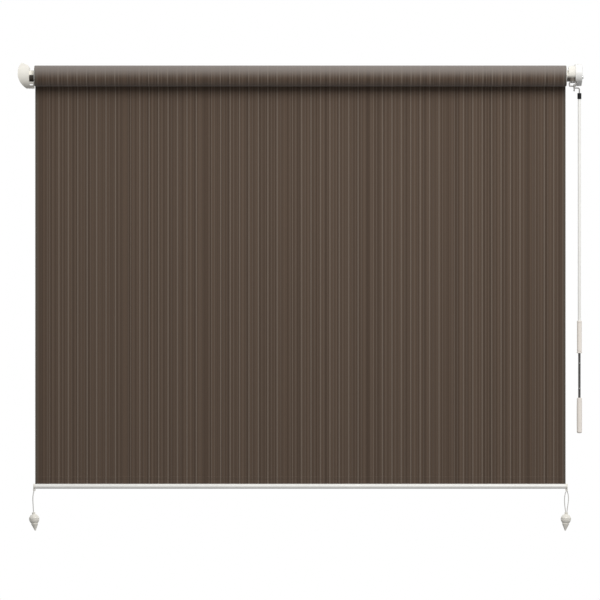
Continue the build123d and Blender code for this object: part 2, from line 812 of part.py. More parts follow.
# Worm shaft: top pin, worm, stem and the spigot that holds the drive eye
worm_bottom = -pocket_z + part_gap
worm_shaft_steps = (
    (pocket_z - part_gap, pocket_z + 2 * worm_pin_radius - part_gap, worm_pin_radius),
    (worm_bottom, pocket_z - part_gap, worm_root),
    (eye_top + eye_wire / 2, worm_bottom, stem_radius),
    (eye_top, eye_top + eye_wire / 2, spigot_radius),
)
with BuildPart() as worm_shaft:
    for bottom, top, radius in worm_shaft_steps:
        with BuildSketch(Plane.XY.offset(bottom)):
            with Locations((worm_x, worm_y)):
                Circle(radius)
        extrude(amount=top - bottom)
    with BuildLine() as thread_line:
        Helix(lead, worm_turns * lead, worm_root, center=(worm_x, worm_y, -worm_turns * lead / 2))
    with BuildSketch(Plane(thread_line.line @ 0, x_dir=(1, 0, 0), z_dir=thread_line.line % 0)):
        depth = addendum + dedendum
        sunk = -part_gap
        Polygon((sunk, -thread_half(worm_root + sunk)), (depth, -thread_half(worm_root + depth)),
                (depth, thread_half(worm_root + depth)), (sunk, thread_half(worm_root + sunk)), align=None)
    sweep(path=thread_line.line, is_frenet=True)
save(worm_shaft, "worm_shaft")


def wire(points, radii, diameter, close=False):
    """A round wire along straight runs with bent corners."""
    with BuildPart() as body:
        with BuildLine() as line:
            FilletPolyline(*points, radius=radii, close=close)
        with BuildSketch(Plane(line.line @ 0, z_dir=line.line % 0)):
            Circle(diameter / 2)
        sweep(path=line.line)
    return body


# Drive eye: a round-cornered wire loop under the worm, with a short socket on its top bar
eye_half = eye_width / 2
eye_corners = [(worm_x + x, worm_y, z) for x, z in
               ((-eye_half, eye_top), (eye_half, eye_top), (eye_half, eye_bottom), (-eye_half, eye_bottom))]
with BuildPart() as drive_eye:
    add(wire(eye_corners, eye_corner, eye_wire, close=True).part)
    add(post(stem_radius + part_gap, eye_top - eye_wire / 2, eye_top + eye_wire / 2, worm_x).part)
    add(post(spigot_radius, eye_top, eye_top + eye_wire, worm_x).part, mode=Mode.SUBTRACT)
save(drive_eye, "drive_eye")

# Wand hook: up from the ferrule, across under the eye, round its lower bar and down to a ball tip
hook_top = eye_bottom + eye_wire / 2 + hook_wire / 2 + hook_gap
hook_back = worm_y + hook_side
hook_front = worm_y - hook_side
hook_foot = ferrule_top - hook_wire
hook_points = [(wand_x, worm_y, hook_foot), (wand_x, worm_y, hook_run), (hook_x, worm_y, hook_run),
               (hook_x, hook_back, hook_run), (hook_x, hook_back, hook_top),
               (hook_x, hook_front, hook_top), (hook_x, hook_front, hook_tip)]
with BuildPart() as wand_hook:
    add(wire(hook_points, [hook_bend, hook_turn, hook_turn, hook_arch, hook_arch], hook_wire).part)
    with Locations(hook_points[-1]):
        Sphere(hook_ball)
save(wand_hook, "wand_hook")

pole_top = (ferrule_top + ferrule_bottom) / 2
with BuildPart() as hook_ferrule:
    add(post(ferrule_radius, ferrule_bottom, ferrule_top, edge=ferrule_round).part)
    add(post(hook_wire / 2, hook_foot, ferrule_top).part, mode=Mode.SUBTRACT)
    add(post(pole_radius, ferrule_bottom, pole_top).part, mode=Mode.SUBTRACT)
save(hook_ferrule, "hook_ferrule")

with BuildPart() as wand_pole:
    add(post(pole_radius, grip_bottom, pole_top).part)
    add(post(handle_rod_radius, grip_bottom, grip_bottom + fork_stem).part, mode=Mode.SUBTRACT)
save(wand_pole, "wand_pole")

# Upper grip between two collars that are fixed to the pole
save(post(collar_radius, grip_top - collar_height, grip_top, bore=pole_radius, edge=collar_round),
     "upper_collar")
save(post(collar_radius, grip_bottom, grip_bottom + collar_height, bore=pole_radius, edge=collar_round),
     "lower_collar")
save(post(grip_radius, grip_bottom + collar_height + part_gap, grip_top - collar_height - part_gap,
          bore=pole_radius + running_fit, edge=grip_round), "upper_grip")


def fork(pin_z, top):
    """A round bar from top down to a slotted end with cheeks that are round about the pin."""
    with BuildPart() as body:
        with BuildSketch(Plane.XY.offset(pin_z - arm_radius)):
            with Locations((wand_x, worm_y)):
                Circle(arm_radius)
        extrude(amount=top - pin_z + arm_radius)
        with BuildSketch(Plane.XZ.offset(-worm_y - arm_radius)):
            with Locations((wand_x, pin_z)):
                Circle(arm_radius)
            with Locations((wand_x, (pin_z + top) / 2)):
                Rectangle(2 * arm_radius, top - pin_z)
        extrude(amount=2 * arm_radius, mode=Mode.INTERSECT)
        with BuildSketch(Plane.XZ.offset(-worm_y - fork_slot / 2)):
            with Locations((wand_x, pin_z)):
                Rectangle(3 * arm_radius, 2 * shoulder)
        extrude(amount=fork_slot, mode=Mode.SUBTRACT)
        with BuildSketch(Plane.XZ.offset(-worm_y - arm_radius)):
            with Locations((wand_x, pin_z)):
                Circle(elbow_pin_radius)
        extrude(amount=2 * arm_radius, mode=Mode.SUBTRACT)
    return body


def tongue(pin_z, drop):
    """A flat tongue round the pin, down to the shoulder of its bar."""
    with BuildPart() as body:
        with BuildSketch(Plane.XZ.offset(-worm_y - tang / 2)):
            with Locations((wand_x, pin_z)):
                Circle(arm_radius)
            with Locations((wand_x, pin_z - drop / 2)):
                Rectangle(2 * arm_radius, drop)
            with Locations((wand_x, pin_z)):
                Circle(elbow_pin_radius + running_fit, mode=Mode.SUBTRACT)
        extrude(amount=tang)
    return body


def elbow_pin(pin_z):
    """A pin across a fork."""
    with BuildPart() as body:
        with BuildSketch(Plane.XZ.offset(-worm_y - arm_radius)):
            with Locations((wand_x, pin_z)):
                Circle(elbow_pin_radius)
        extrude(amount=2 * arm_radius)
    return body


with BuildPart() as upper_fork:
    add(fork(elbow_z, grip_bottom).part)
    add(post(handle_rod_radius, grip_bottom, grip_bottom + fork_stem).part)
save(upper_fork, "upper_fork")
save(elbow_pin(elbow_z), "elbow_pin")

with BuildPart() as crank_arm:
    add(fork(knuckle_z, elbow_z - shoulder).part)
    add(tongue(elbow_z, shoulder).part)
save(crank_arm, "crank_arm")
save(elbow_pin(knuckle_z), "knuckle_pin")

with BuildPart() as handle_knuckle:
    add(tongue(knuckle_z, long_shoulder).part)
    add(post(arm_radius, stub_bottom, knuckle_z - long_shoulder).part)
    add(post(handle_rod_radius, stub_bottom, stub_bottom + handle_rod_set).part, mode=Mode.SUBTRACT)
save(handle_knuckle, "handle_knuckle")

rod_end = retainer_z - 3 * handle_rod_radius
save(post(handle_rod_radius, rod_end, stub_bottom + handle_rod_set), "handle_rod")
save(post(retainer_radius, retainer_z - handle_rod_radius, retainer_z, bore=handle_rod_radius),
     "grip_retainer")

# Lower grip: a slightly swelling handle with a round end, bored for its rod and retainer
grip_shoulder = (lower_grip_neck, lower_grip_top - lower_grip_bevel)
grip_foot = (lower_grip_foot, lower_grip_bottom + 2 * lower_grip_end)
grip_end = (lower_grip_foot, lower_grip_bottom + lower_grip_end)
grip_end_arc = lower_grip_end * 1.04
with BuildPart() as lower_grip:
    with BuildSketch(Plane(origin=(wand_x, worm_y, 0), x_dir=(1, 0, 0), z_dir=(0, -1, 0))):
        with BuildLine():
            Polyline((lower_grip_flat, lower_grip_bottom), (0, lower_grip_bottom), (0, lower_grip_top),
                     (lower_grip_neck - lower_grip_bevel, lower_grip_top), grip_shoulder)
            Spline(grip_shoulder, (lower_grip_radius, lower_grip_top - lower_grip_belly), grip_foot)
            Line(grip_foot, grip_end)
            RadiusArc(grip_end, (lower_grip_flat, lower_grip_bottom), grip_end_arc)
        make_face()
    revolve(axis=Axis((wand_x, worm_y, 0), (0, 0, 1)))
    add(post(handle_rod_radius + running_fit, rod_end - part_gap, lower_grip_top).part, mode=Mode.SUBTRACT)
    add(post(retainer_radius + part_gap, retainer_z - handle_rod_radius - part_gap,
             retainer_z + part_gap).part, mode=Mode.SUBTRACT)
save(lower_grip, "lower_grip")

# Cord loops: each goes up from its weight, through the eyelet and back down
left_route = [(-920.2, 2.0, -1505), (-921.2, 3.6, -1490), (-922.4, 5.4, -1470), (-922.9, 6.6, -1452),
              (-921.2, 7.0, -1438), (-918, 6.2, -1426), (-918, -6.2, -1426), (-920.8, -7.2, -1438),
              (-922.7, -6.4, -1453), (-922.1, -5.2, -1471), (-921.0, -3.4, -1490), (-920.2, -2.0, -1505)]
right_route = [(915.2, -0.2, -1505), (912.9, -0.8, -1490), (911.0, -2.4, -1472), (910.6, -4.8, -1454),
               (912.8, -6.8, -1438), (917.4, -6.4, -1426.4), (918.6, 6.4, -1425.6), (923.0, 7.4, -1438),
               (925.4, 4.6, -1453), (923.4, 2.2, -1472), (920.6, 0.8, -1490), (918.8, 0.2, -1505)]


def cord_loop(route, label):
    """A cord: straight runs joined by arcs as large as the runs allow."""
    points = [Vector(x, cloth_mid + y, z) for x, y, z in route]
    runs = [end - start for start, end in zip(points, points[1:])]
    radii = []
    for before, after in zip(runs, runs[1:]):
        half_turn = radians(before.get_angle(after)) / 2
        radii.append(0.45 * min(before.length, after.length) / tan(half_turn))
    with BuildLine() as line:
        FilletPolyline(*points, radius=radii)
    tube = wire(points, radii, cord_diameter)
    section = pi * cord_diameter ** 2 / 4
    length = line.wire().length
    print(label, "radii", [round(radius, 1) for radius in radii], "length", round(length, 1),
          "volume over section times length", round(tube.part.volume / section / length, 4))
    save(tube, label)


cord_loop(left_route, "left_cord")
cord_loop(right_route, "right_cord")


def weight_parts(neck_x, lean, side):
    """A weight: a domed cap with a skirt, and a cone-shaped tip under it, leaning by a few degrees."""
    slope = radians(lean)
    plane = Plane(origin=(neck_x, cloth_mid, neck_z), x_dir=(cos(slope), 0, sin(slope)), z_dir=(0, -1, 0))
    axis = Axis(plane.origin, plane.y_dir)
    with BuildPart() as cap:
        with BuildSketch(plane):
            with BuildLine():
                Polyline((0, -waist_depth), (0, 0), (neck_radius - neck_bevel, 0),
                         (neck_radius, -neck_bevel), (neck_waist, -neck_depth))
                ThreePointArc((neck_waist, -neck_depth), (dome_radius, -dome_depth), (rim_radius, -rim_depth))
                Line((rim_radius, -rim_depth), (rim_under, -rim_foot))
                ThreePointArc((rim_under, -rim_foot), (bowl_radius, -bowl_depth),
                              (bowl_foot_radius, -bowl_foot))
                Polyline((bowl_foot_radius, -bowl_foot), (waist_radius, -waist_depth), (0, -waist_depth))
            make_face()
        revolve(axis=axis)
    with BuildPart() as tip:
        with BuildSketch(plane):
            with BuildLine():
                Polyline((point_flat, -point_depth), (0, -point_depth), (0, -waist_depth),
                         (waist_radius, -waist_depth), (cone_radius, -cone_depth),
                         (point_radius, -point_start))
                ThreePointArc((point_radius, -point_start), (point_round, -point_round_depth),
                              (point_flat, -point_depth))
            make_face()
        revolve(axis=axis)
    save(cap, f"{side}_weight_cap")
    save(tip, f"{side}_weight_tip")


weight_parts(-eyelet_x - left_neck_out, left_lean, "left")
weight_parts(eyelet_x + right_neck_out, right_lean, "right")
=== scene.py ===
from math import atan, cos, floor, pi, sin, sqrt

import bmesh
import bpy
from bpy.props import FloatProperty, FloatVectorProperty, IntProperty, PointerProperty
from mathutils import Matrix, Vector


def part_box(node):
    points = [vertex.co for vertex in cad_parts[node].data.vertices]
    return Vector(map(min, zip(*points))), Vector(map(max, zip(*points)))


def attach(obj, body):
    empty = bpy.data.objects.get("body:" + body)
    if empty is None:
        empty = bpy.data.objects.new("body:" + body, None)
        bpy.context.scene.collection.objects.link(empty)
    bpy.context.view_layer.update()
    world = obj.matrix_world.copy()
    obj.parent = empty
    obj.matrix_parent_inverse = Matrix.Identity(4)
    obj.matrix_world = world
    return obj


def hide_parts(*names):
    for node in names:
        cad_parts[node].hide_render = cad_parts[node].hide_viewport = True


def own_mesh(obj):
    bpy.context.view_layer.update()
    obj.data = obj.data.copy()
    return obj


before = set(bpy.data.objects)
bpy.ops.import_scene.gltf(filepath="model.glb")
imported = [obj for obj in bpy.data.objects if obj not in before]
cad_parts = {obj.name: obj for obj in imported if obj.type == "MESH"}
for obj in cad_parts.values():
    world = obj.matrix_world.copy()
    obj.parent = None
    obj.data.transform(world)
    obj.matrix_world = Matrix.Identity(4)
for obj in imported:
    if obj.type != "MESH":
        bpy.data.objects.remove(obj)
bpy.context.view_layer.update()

bl_info = {
    "name": "Crank Roller Shade",
    "version": (1, 0, 0),
    "blender": (4, 5, 0),
    "location": "View3D > Sidebar > Roller Shade",
    "description": "Makes the cloth, cords, seams and finishes of a roller shade with a crank wand",
    "category": "Object",
}

# Places that the frame fixes, in metres
CLOTH_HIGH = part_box("hanging_cloth")[1]
ROLL_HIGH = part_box("wound_cloth")[1]
HEM_LOW, HEM_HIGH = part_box("cloth_hem")
TUBE_LOW, TUBE_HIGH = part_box("roller_tube")
BEAD_LOW, BEAD_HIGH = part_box("hem_bead")
CLOTH_MIDDLE = (BEAD_LOW.y + BEAD_HIGH.y) / 2
HALF_WIDTH = CLOTH_HIGH.x
ROLL_RADIUS = ROLL_HIGH.z
ROLLER_DEPTH = (TUBE_LOW.y + TUBE_HIGH.y) / 2

# The hem's section: half the doubled cloth, the bevel of its top edge, and the grooves that the stitches pull
HEM_HALF = 0.0008
HEM_BEVEL_DEPTH, HEM_BEVEL_HEIGHT = 0.0003, 0.0004
GROOVE_HALF_WIDTH, GROOVE_DEPTH = 0.0008, 0.00022
HEM_PLAIN_DEPTHS = (0.016, 0.022)
STITCH_DEPTH = 0.00075
STITCH_MARGIN = 0.001

# The fainter stripes beside a bright one: offset from it, where it ends, where it is full, and its strength
FAINT_STRIPES = ((0.012, 0.0022, 0.0008, 0.45), (-0.0095, 0.0018, 0.0006, 0.28))

# The roll's half turns, the steps in each, and how uneven the ends of its turns are
HALF_TURNS, TURN_STEPS = 9, 20
UNEVEN_ENDS = 0.0004

# How finely the sheets are divided, and how fast the hanging cloth's waves follow one another
CLOTH_ROWS, COLUMNS_IN_RIB = 11, 4
HEM_COLUMNS, POCKET_STEPS = 40, 14
SLOW_WAVE, CROSS_WAVE_ACROSS, CROSS_WAVE_UP = 7.3, -4.1, 3.7

# A cord strand's section: the core, and how far the lobes stand out, as shares of the cord's radius
ROPE_SIDES, ROPE_CORE, ROPE_LOBE = 24, 0.80, 0.22

# Each lamp's name, place, aim, width and depth
KEY_LAMP = ("key_lamp", (1.1, -3.6, 2.0), (-0.1, ROLLER_DEPTH, -0.8), 2.4, 2.2)
TOP_LAMP = ("top_lamp", (0.1, -0.3, 2.3), (0.0, ROLLER_DEPTH, 0.0), 2.6, 0.6)

# The soft light's level: from which height to which, and from which strength to which
SOFT_LIGHT = (-0.7, 1.0, 0.12, 0.75)

# The cord loops' lengths, and their routes from the weight up through the rail's eyelet and back.
# Y is from the cloth's middle
LEFT_LENGTH, RIGHT_LENGTH = 0.1675, 0.1698
LEFT_ROUTE = [
    (-0.9202, 0.0020, -1.505), (-0.9212, 0.0036, -1.490), (-0.9224, 0.0054, -1.470), (-0.9229, 0.0066, -1.452),
    (-0.9212, 0.0070, -1.438), (-0.9180, 0.0062, -1.426), (-0.9180, -0.0062, -1.426),
    (-0.9208, -0.0072, -1.438), (-0.9227, -0.0064, -1.453), (-0.9221, -0.0052, -1.471),
    (-0.9210, -0.0034, -1.490), (-0.9202, -0.0020, -1.505),
]
RIGHT_ROUTE = [
    (0.9152, -0.0002, -1.505), (0.9129, -0.0008, -1.490), (0.9110, -0.0024, -1.472), (0.9106, -0.0048, -1.454),
    (0.9128, -0.0068, -1.438), (0.9174, -0.0064, -1.4264), (0.9186, 0.0064, -1.4256),
    (0.9230, 0.0074, -1.438), (0.9254, 0.0046, -1.453), (0.9234, 0.0022, -1.472),
    (0.9206, 0.0008, -1.490), (0.9188, 0.0002, -1.505),
]


def length(name, description, default):
    """A size in metres that the sidebar shows."""
    return FloatProperty(name=name, description=description, default=default, min=0.0, precision=5,
                         subtype="DISTANCE", unit="LENGTH")


def colour(name, description, default):
    """A colour that the sidebar shows."""
    return FloatVectorProperty(name=name, description=description, default=default, size=3, min=0.0, max=1.0,
                               subtype="COLOR")


class ShadeCloth(bpy.types.PropertyGroup):
    """Sizes and yarn colours of the striped cloth."""
    thickness: length("Thickness", "Thickness of the plain cloth", 0.0005)
    rib_height: length("Rib Height", "How far a rib stands out of the cloth", 0.00028)
    rib_width: length("Rib Width", "Width of one rib", 0.0034)
    rib_pitch: length("Rib Pitch", "Distance from rib to rib inside a group", 0.0325)
    group_pitch: length("Group Pitch", "Distance from one group of ribs to the next", 0.279)
    ribs_in_group: IntProperty(name="Ribs in Group", description="Number of ribs before the plain band",
                               default=8, min=1, max=20)
    first_rib: FloatProperty(name="First Rib", description="Place of the first group's first rib",
                             default=-0.8654, precision=5, subtype="DISTANCE", unit="LENGTH")
    yarn: length("Yarn", "Distance from yarn to yarn in the weave", 0.0011)
    selvedge: length("Selvedge", "Width of the greyer band along both edges", 0.010)
    wave: length("Wave", "How far the hanging cloth bows in and out", 0.0012)
    tuck: length("Tuck", "How far the hanging cloth goes on inside the hem's fold", 0.0008)
    leave: length("Leave", "How far below the roller's axis the hanging cloth leaves the roll", 0.008)
    turn_pitch: length("Turn Pitch", "How much the roll shrinks with each turn inwards", 0.00093)
    wound_thickness: length("Wound Thickness", "Thickness of the cloth in the roll", 0.00078)
    base: colour("Base", "Most of the yarns", (0.097, 0.064, 0.043))
    dark: colour("Dark Yarn", "The darker yarns between the stripes", (0.062, 0.039, 0.025))
    bright: colour("Bright Yarn", "The thin bright stripes", (0.146, 0.113, 0.088))
    edge: colour("Edge", "The greyer edge band", (0.086, 0.067, 0.050))
    # Painted sheen: a lighter, greyer band over the roll's upper side, standing in for the light that falls on its
    # top; the three lengths below place it along the roll
    painted_sheen_tone: colour("Painted Sheen", "The grey bloom on the upper side of the roll", (0.215, 0.190, 0.172))
    painted_sheen_start: length("Dust Start", "From the roll's wall side to where the bloom begins", 0.030)
    painted_sheen_full: length("Dust Full", "From the roll's wall side to where the bloom starts to fade", 0.084)
    painted_sheen_end: length("Dust End", "From the roll's wall side to where the bloom ends", 0.126)
    # Painted shadow: a dark line along the hem's foot, where the cloth goes into the rail
    shadow_line_low: length("Hem Line", "How far below the hem's top its pressed dark line ends", 0.0250)
    line_width: length("Hem Line Width", "Width of the hem's pressed dark line", 0.0055)


class ShadeSeams(bpy.types.PropertyGroup):
    """Sizes of the hem's stitches and of the cords."""
    stitch_pitch: length("Stitch Pitch", "Distance from stitch to stitch", 0.0032)
    stitch_length: length("Stitch Length", "Length of one stitch", 0.0026)
    thread: length("Thread", "Thickness of the sewing thread", 0.00052)
    first_row: length("First Row", "From the hem's top edge to the first row of stitches", 0.005)
    row_gap: length("Row Gap", "From the first row to the second", 0.005)
    cord_width: length("Cord Diameter", "Thickness of the hold-down cords", 0.003)
    cord_twist: length("Cord Twist", "Length over which the cord's strands go once round", 0.011)
    thread_colour: colour("Thread Colour", "The sewing thread", (0.050, 0.036, 0.026))
    cord_colour: colour("Cord Colour", "The braided cord", (0.68, 0.665, 0.63))


class ShadeFinishes(bpy.types.PropertyGroup):
    """Colours of the hard parts."""
    cream: colour("Cream Plastic", "The left cover, the rail's caps and the weights", (0.86, 0.83, 0.755))
    white: colour("White Plastic", "The right cover", (0.86, 0.85, 0.82))
    grip: colour("Grip Plastic", "The grips and their collars", (0.90, 0.835, 0.765))
    # Painted shade: the left hub's lower half, dark as if in shadow
    pad: colour("Hub Painted Shade", "The dark lower half of the left hub", (0.030, 0.022, 0.015))
    # Painted shade: the gear housing darkens towards its underside, as if in shadow
    housing_painted_shade: colour("Gear Nose", "The darker underside of the gear housing", (0.13, 0.11, 0.09))
    rail: colour("Rail Paint", "Powder coat on the rail, wand and brackets", (0.92, 0.91, 0.87))
    tube: colour("Tube Metal", "The roller tube", (0.72, 0.73, 0.74))
    inner: colour("Inner Plastic", "Plugs, bushings and the gear", (0.80, 0.79, 0.75))
    steel: colour("Steel", "Shafts, pins and screws", (0.58, 0.58, 0.57))
    wire: colour("Wire", "The drive eye and the wand's hook", (0.30, 0.29, 0.275))
    black: colour("Black Plastic", "The ferrule under the hook", (0.004, 0.004, 0.004))
    dark: colour("Dark Paint", "The crank arm and its knuckles", (0.060, 0.055, 0.050))


class ShadeStudio(bpy.types.PropertyGroup):
    """Camera, lamps and floor."""
    camera_distance: length("Camera Distance", "From the camera to the roller", 20.0)
    frame_width: length("Frame Width", "How much of the object's plane the picture spans", 2.0655)
    frame_x: FloatProperty(name="Frame X", description="Middle of the picture, across", default=-0.0014,
                           precision=4, subtype="DISTANCE", unit="LENGTH")
    frame_z: FloatProperty(name="Frame Z", description="Middle of the picture, in height", default=-0.7711,
                           precision=4, subtype="DISTANCE", unit="LENGTH")
    floor_z: FloatProperty(name="Floor", description="Height of the floor", default=-2.05,
                           subtype="DISTANCE", unit="LENGTH")
    floor_size: length("Floor Size", "Length of the floor's sides", 5.0)
    key_power: FloatProperty(name="Key Lamp", description="Power of the large lamp in front", default=128.0,
                             min=0.0, subtype="POWER", unit="POWER")
    top_power: FloatProperty(name="Top Lamp", description="Power of the long lamp above", default=5.0,
                             min=0.0, subtype="POWER", unit="POWER")
    lean: FloatProperty(name="Lean", description="How far the soft light leans to the right", default=0.5)
    floor_colour: colour("Floor Colour", "The pale floor", (0.86, 0.86, 0.86))


# Node trees

def put(tree, kind, values=(), **settings):
    """Add a node, set its options, and link or set its inputs."""
    node = tree.nodes.new(kind)
    for name, value in settings.items():
        setattr(node, name, value)
    for key, value in dict(values).items():
        if isinstance(value, bpy.types.NodeSocket):
            tree.links.new(value, node.inputs[key])
        else:
            node.inputs[key].default_value = value
    return node


def maths(tree, operation, *values):
    """One Math node; its result."""
    return put(tree, "ShaderNodeMath", enumerate(values), operation=operation).outputs[0]


def span(tree, value, low, high, to_low=0.0, to_high=1.0, smooth=False):
    """A value carried from one range to another and kept inside it."""
    kind = "SMOOTHSTEP" if smooth else "LINEAR"
    values = {"Value": value, "From Min": low, "From Max": high, "To Min": to_low, "To Max": to_high}
    return put(tree, "ShaderNodeMapRange", values, interpolation_type=kind).outputs[0]


def mixed(tree, share, first, second):
    """A colour between two colours."""
    return put(tree, "ShaderNodeMix", {0: share, 6: first, 7: second}, data_type="RGBA").outputs[2]


def rgba(tone, shade=1.0):
    """A property's colour as a node's colour, darkened by a share."""
    return (tone[0] * shade, tone[1] * shade, tone[2] * shade, 1.0)


def noise(tree, place, scale, detail=2.0, stretch=None):
    """Noise from 0 to 1 at a place; stretch scales the place along each axis first."""
    if stretch:
        place = put(tree, "ShaderNodeMapping", {"Vector": place, "Scale": stretch}).outputs[0]
    return put(tree, "ShaderNodeTexNoise", {"Vector": place, "Scale": scale, "Detail": detail}).outputs[0]


def new_material(name, roughness, metallic=0.0, specular=0.5):
    """A node material with a plain Principled shader; returns it, its tree and its shader."""
    material = bpy.data.materials.new(name)
    material.use_nodes = True
    shader = material.node_tree.nodes["Principled BSDF"]
    shader.inputs["Roughness"].default_value = roughness
    shader.inputs["Metallic"].default_value = metallic
    shader.inputs["Specular IOR Level"].default_value = specular
    return material, material.node_tree, shader


def bump(tree, shader, height, strength, distance):
    """Raise the surface by a height from 0 to 1."""
    values = {"Height": height, "Strength": strength, "Distance": distance}
    tree.links.new(put(tree, "ShaderNodeBump", values).outputs[0], shader.inputs["Normal"])


def moulded_plastic(name, tone, roughness=0.42, specular=0.45, shade=0.93, pad=None, painted_shade_top=0.0,
                    painted_shade_edge=0.002):
    """Moulded plastic: slow changes of tone, a fine grain, and small scuffs that are rougher and duller.

    The last three arguments paint shade: a dark colour, the height below which it is painted, and the distance
    over which it fades in, so that the lower part looks as if in shadow.
    """
    material, tree, shader = new_material(name, roughness, specular=specular)
    place = put(tree, "ShaderNodeTexCoord").outputs["Object"]
    clouds = noise(tree, place, 17.0, 3.0)
    grain = noise(tree, place, 950.0, 2.0)
    scuffs = span(tree, noise(tree, place, 60.0, 6.0, (1.0, 1.0, 0.25)), 0.60, 0.74, smooth=True)
    body = mixed(tree, span(tree, clouds, 0.3, 0.7), rgba(tone, shade), rgba(tone))
    body = mixed(tree, maths(tree, "MULTIPLY", scuffs, 0.35), body, rgba(tone, 0.84))
    # Painted shade: below the given height the colour darkens, as if that part lay in shadow
    if pad:
        height = put(tree, "ShaderNodeSeparateXYZ", {0: place}).outputs[2]
        body = mixed(tree, span(tree, height, painted_shade_top, painted_shade_top - painted_shade_edge, smooth=True), body, rgba(pad))
    tree.links.new(body, shader.inputs["Base Color"])
    tree.links.new(span(tree, maths(tree, "ADD", scuffs, clouds), 0.3, 1.4, roughness - 0.06, roughness + 0.16),
                   shader.inputs["Roughness"])
    bump(tree, shader, maths(tree, "ADD", grain, maths(tree, "MULTIPLY", scuffs, -0.4)), 0.12, 0.0003)
    return material


def powder_coat(name, tone, roughness=0.38, shade=0.95):
    """Powder-coated metal: an orange-peel surface, faint dirt and tiny specks."""
    material, tree, shader = new_material(name, roughness, specular=0.5)
    place = put(tree, "ShaderNodeTexCoord").outputs["Object"]
    peel = noise(tree, place, 420.0, 1.0)
    dirt = span(tree, noise(tree, place, 9.0, 5.0), 0.35, 0.75)
    specks = span(tree, noise(tree, place, 700.0, 0.0), 0.74, 0.80)
    body = mixed(tree, dirt, rgba(tone), rgba(tone, shade))
    tree.links.new(mixed(tree, maths(tree, "MULTIPLY", specks, 0.25), body, rgba(tone, 0.7)),
                   shader.inputs["Base Color"])
    tree.links.new(span(tree, dirt, 0.0, 1.0, roughness - 0.05, roughness + 0.12), shader.inputs["Roughness"])
    bump(tree, shader, peel, 0.18, 0.0004)
    return material


def drawn_metal(name, tone, roughness=0.34, along=(1.0, 40.0, 40.0), metallic=1.0):
    """Bare metal with fine lines along the way it was drawn or turned."""
    material, tree, shader = new_material(name, roughness, metallic)
    place = put(tree, "ShaderNodeTexCoord").outputs["Object"]
    lines = noise(tree, place, 30.0, 4.0, along)
    tarnish = span(tree, noise(tree, place, 40.0, 4.0), 0.4, 0.7)
    body = mixed(tree, lines, rgba(tone, 0.86), rgba(tone))
    tree.links.new(mixed(tree, maths(tree, "MULTIPLY", tarnish, 0.4), body, rgba(tone, 0.8)),
                   shader.inputs["Base Color"])
    tree.links.new(span(tree, maths(tree, "ADD", lines, tarnish), 0.2, 1.6, roughness - 0.08, roughness + 0.16),
                   shader.inputs["Roughness"])
    bump(tree, shader, lines, 0.1, 0.0001)
    return material


def cloth_stripes(tree, across, cloth):
    """The bright stripes' strength, and the ribs' height, at a place across the cloth."""
    start = cloth.first_rib - 4 * cloth.group_pitch
    place = maths(tree, "FLOORED_MODULO", maths(tree, "SUBTRACT", across, start), cloth.group_pitch)
    grouped = maths(tree, "LESS_THAN", place, (cloth.ribs_in_group - 0.5) * cloth.rib_pitch)
    shifted = maths(tree, "ADD", place, cloth.rib_pitch / 2)
    from_rib = maths(tree, "SUBTRACT", maths(tree, "FLOORED_MODULO", shifted, cloth.rib_pitch),
                     cloth.rib_pitch / 2)
    rib = span(tree, maths(tree, "ABSOLUTE", from_rib), cloth.rib_width * 0.8, cloth.rib_width * 0.4,
               smooth=True)
    faint = []
    for offset, outside, inside, strength in FAINT_STRIPES:
        away = maths(tree, "ABSOLUTE", maths(tree, "SUBTRACT", from_rib, offset))
        faint.append(span(tree, away, outside, inside, 0.0, strength, smooth=True))
    rib = maths(tree, "MULTIPLY", rib, grouped)
    return maths(tree, "MAXIMUM", rib, maths(tree, "MAXIMUM", *faint)), rib


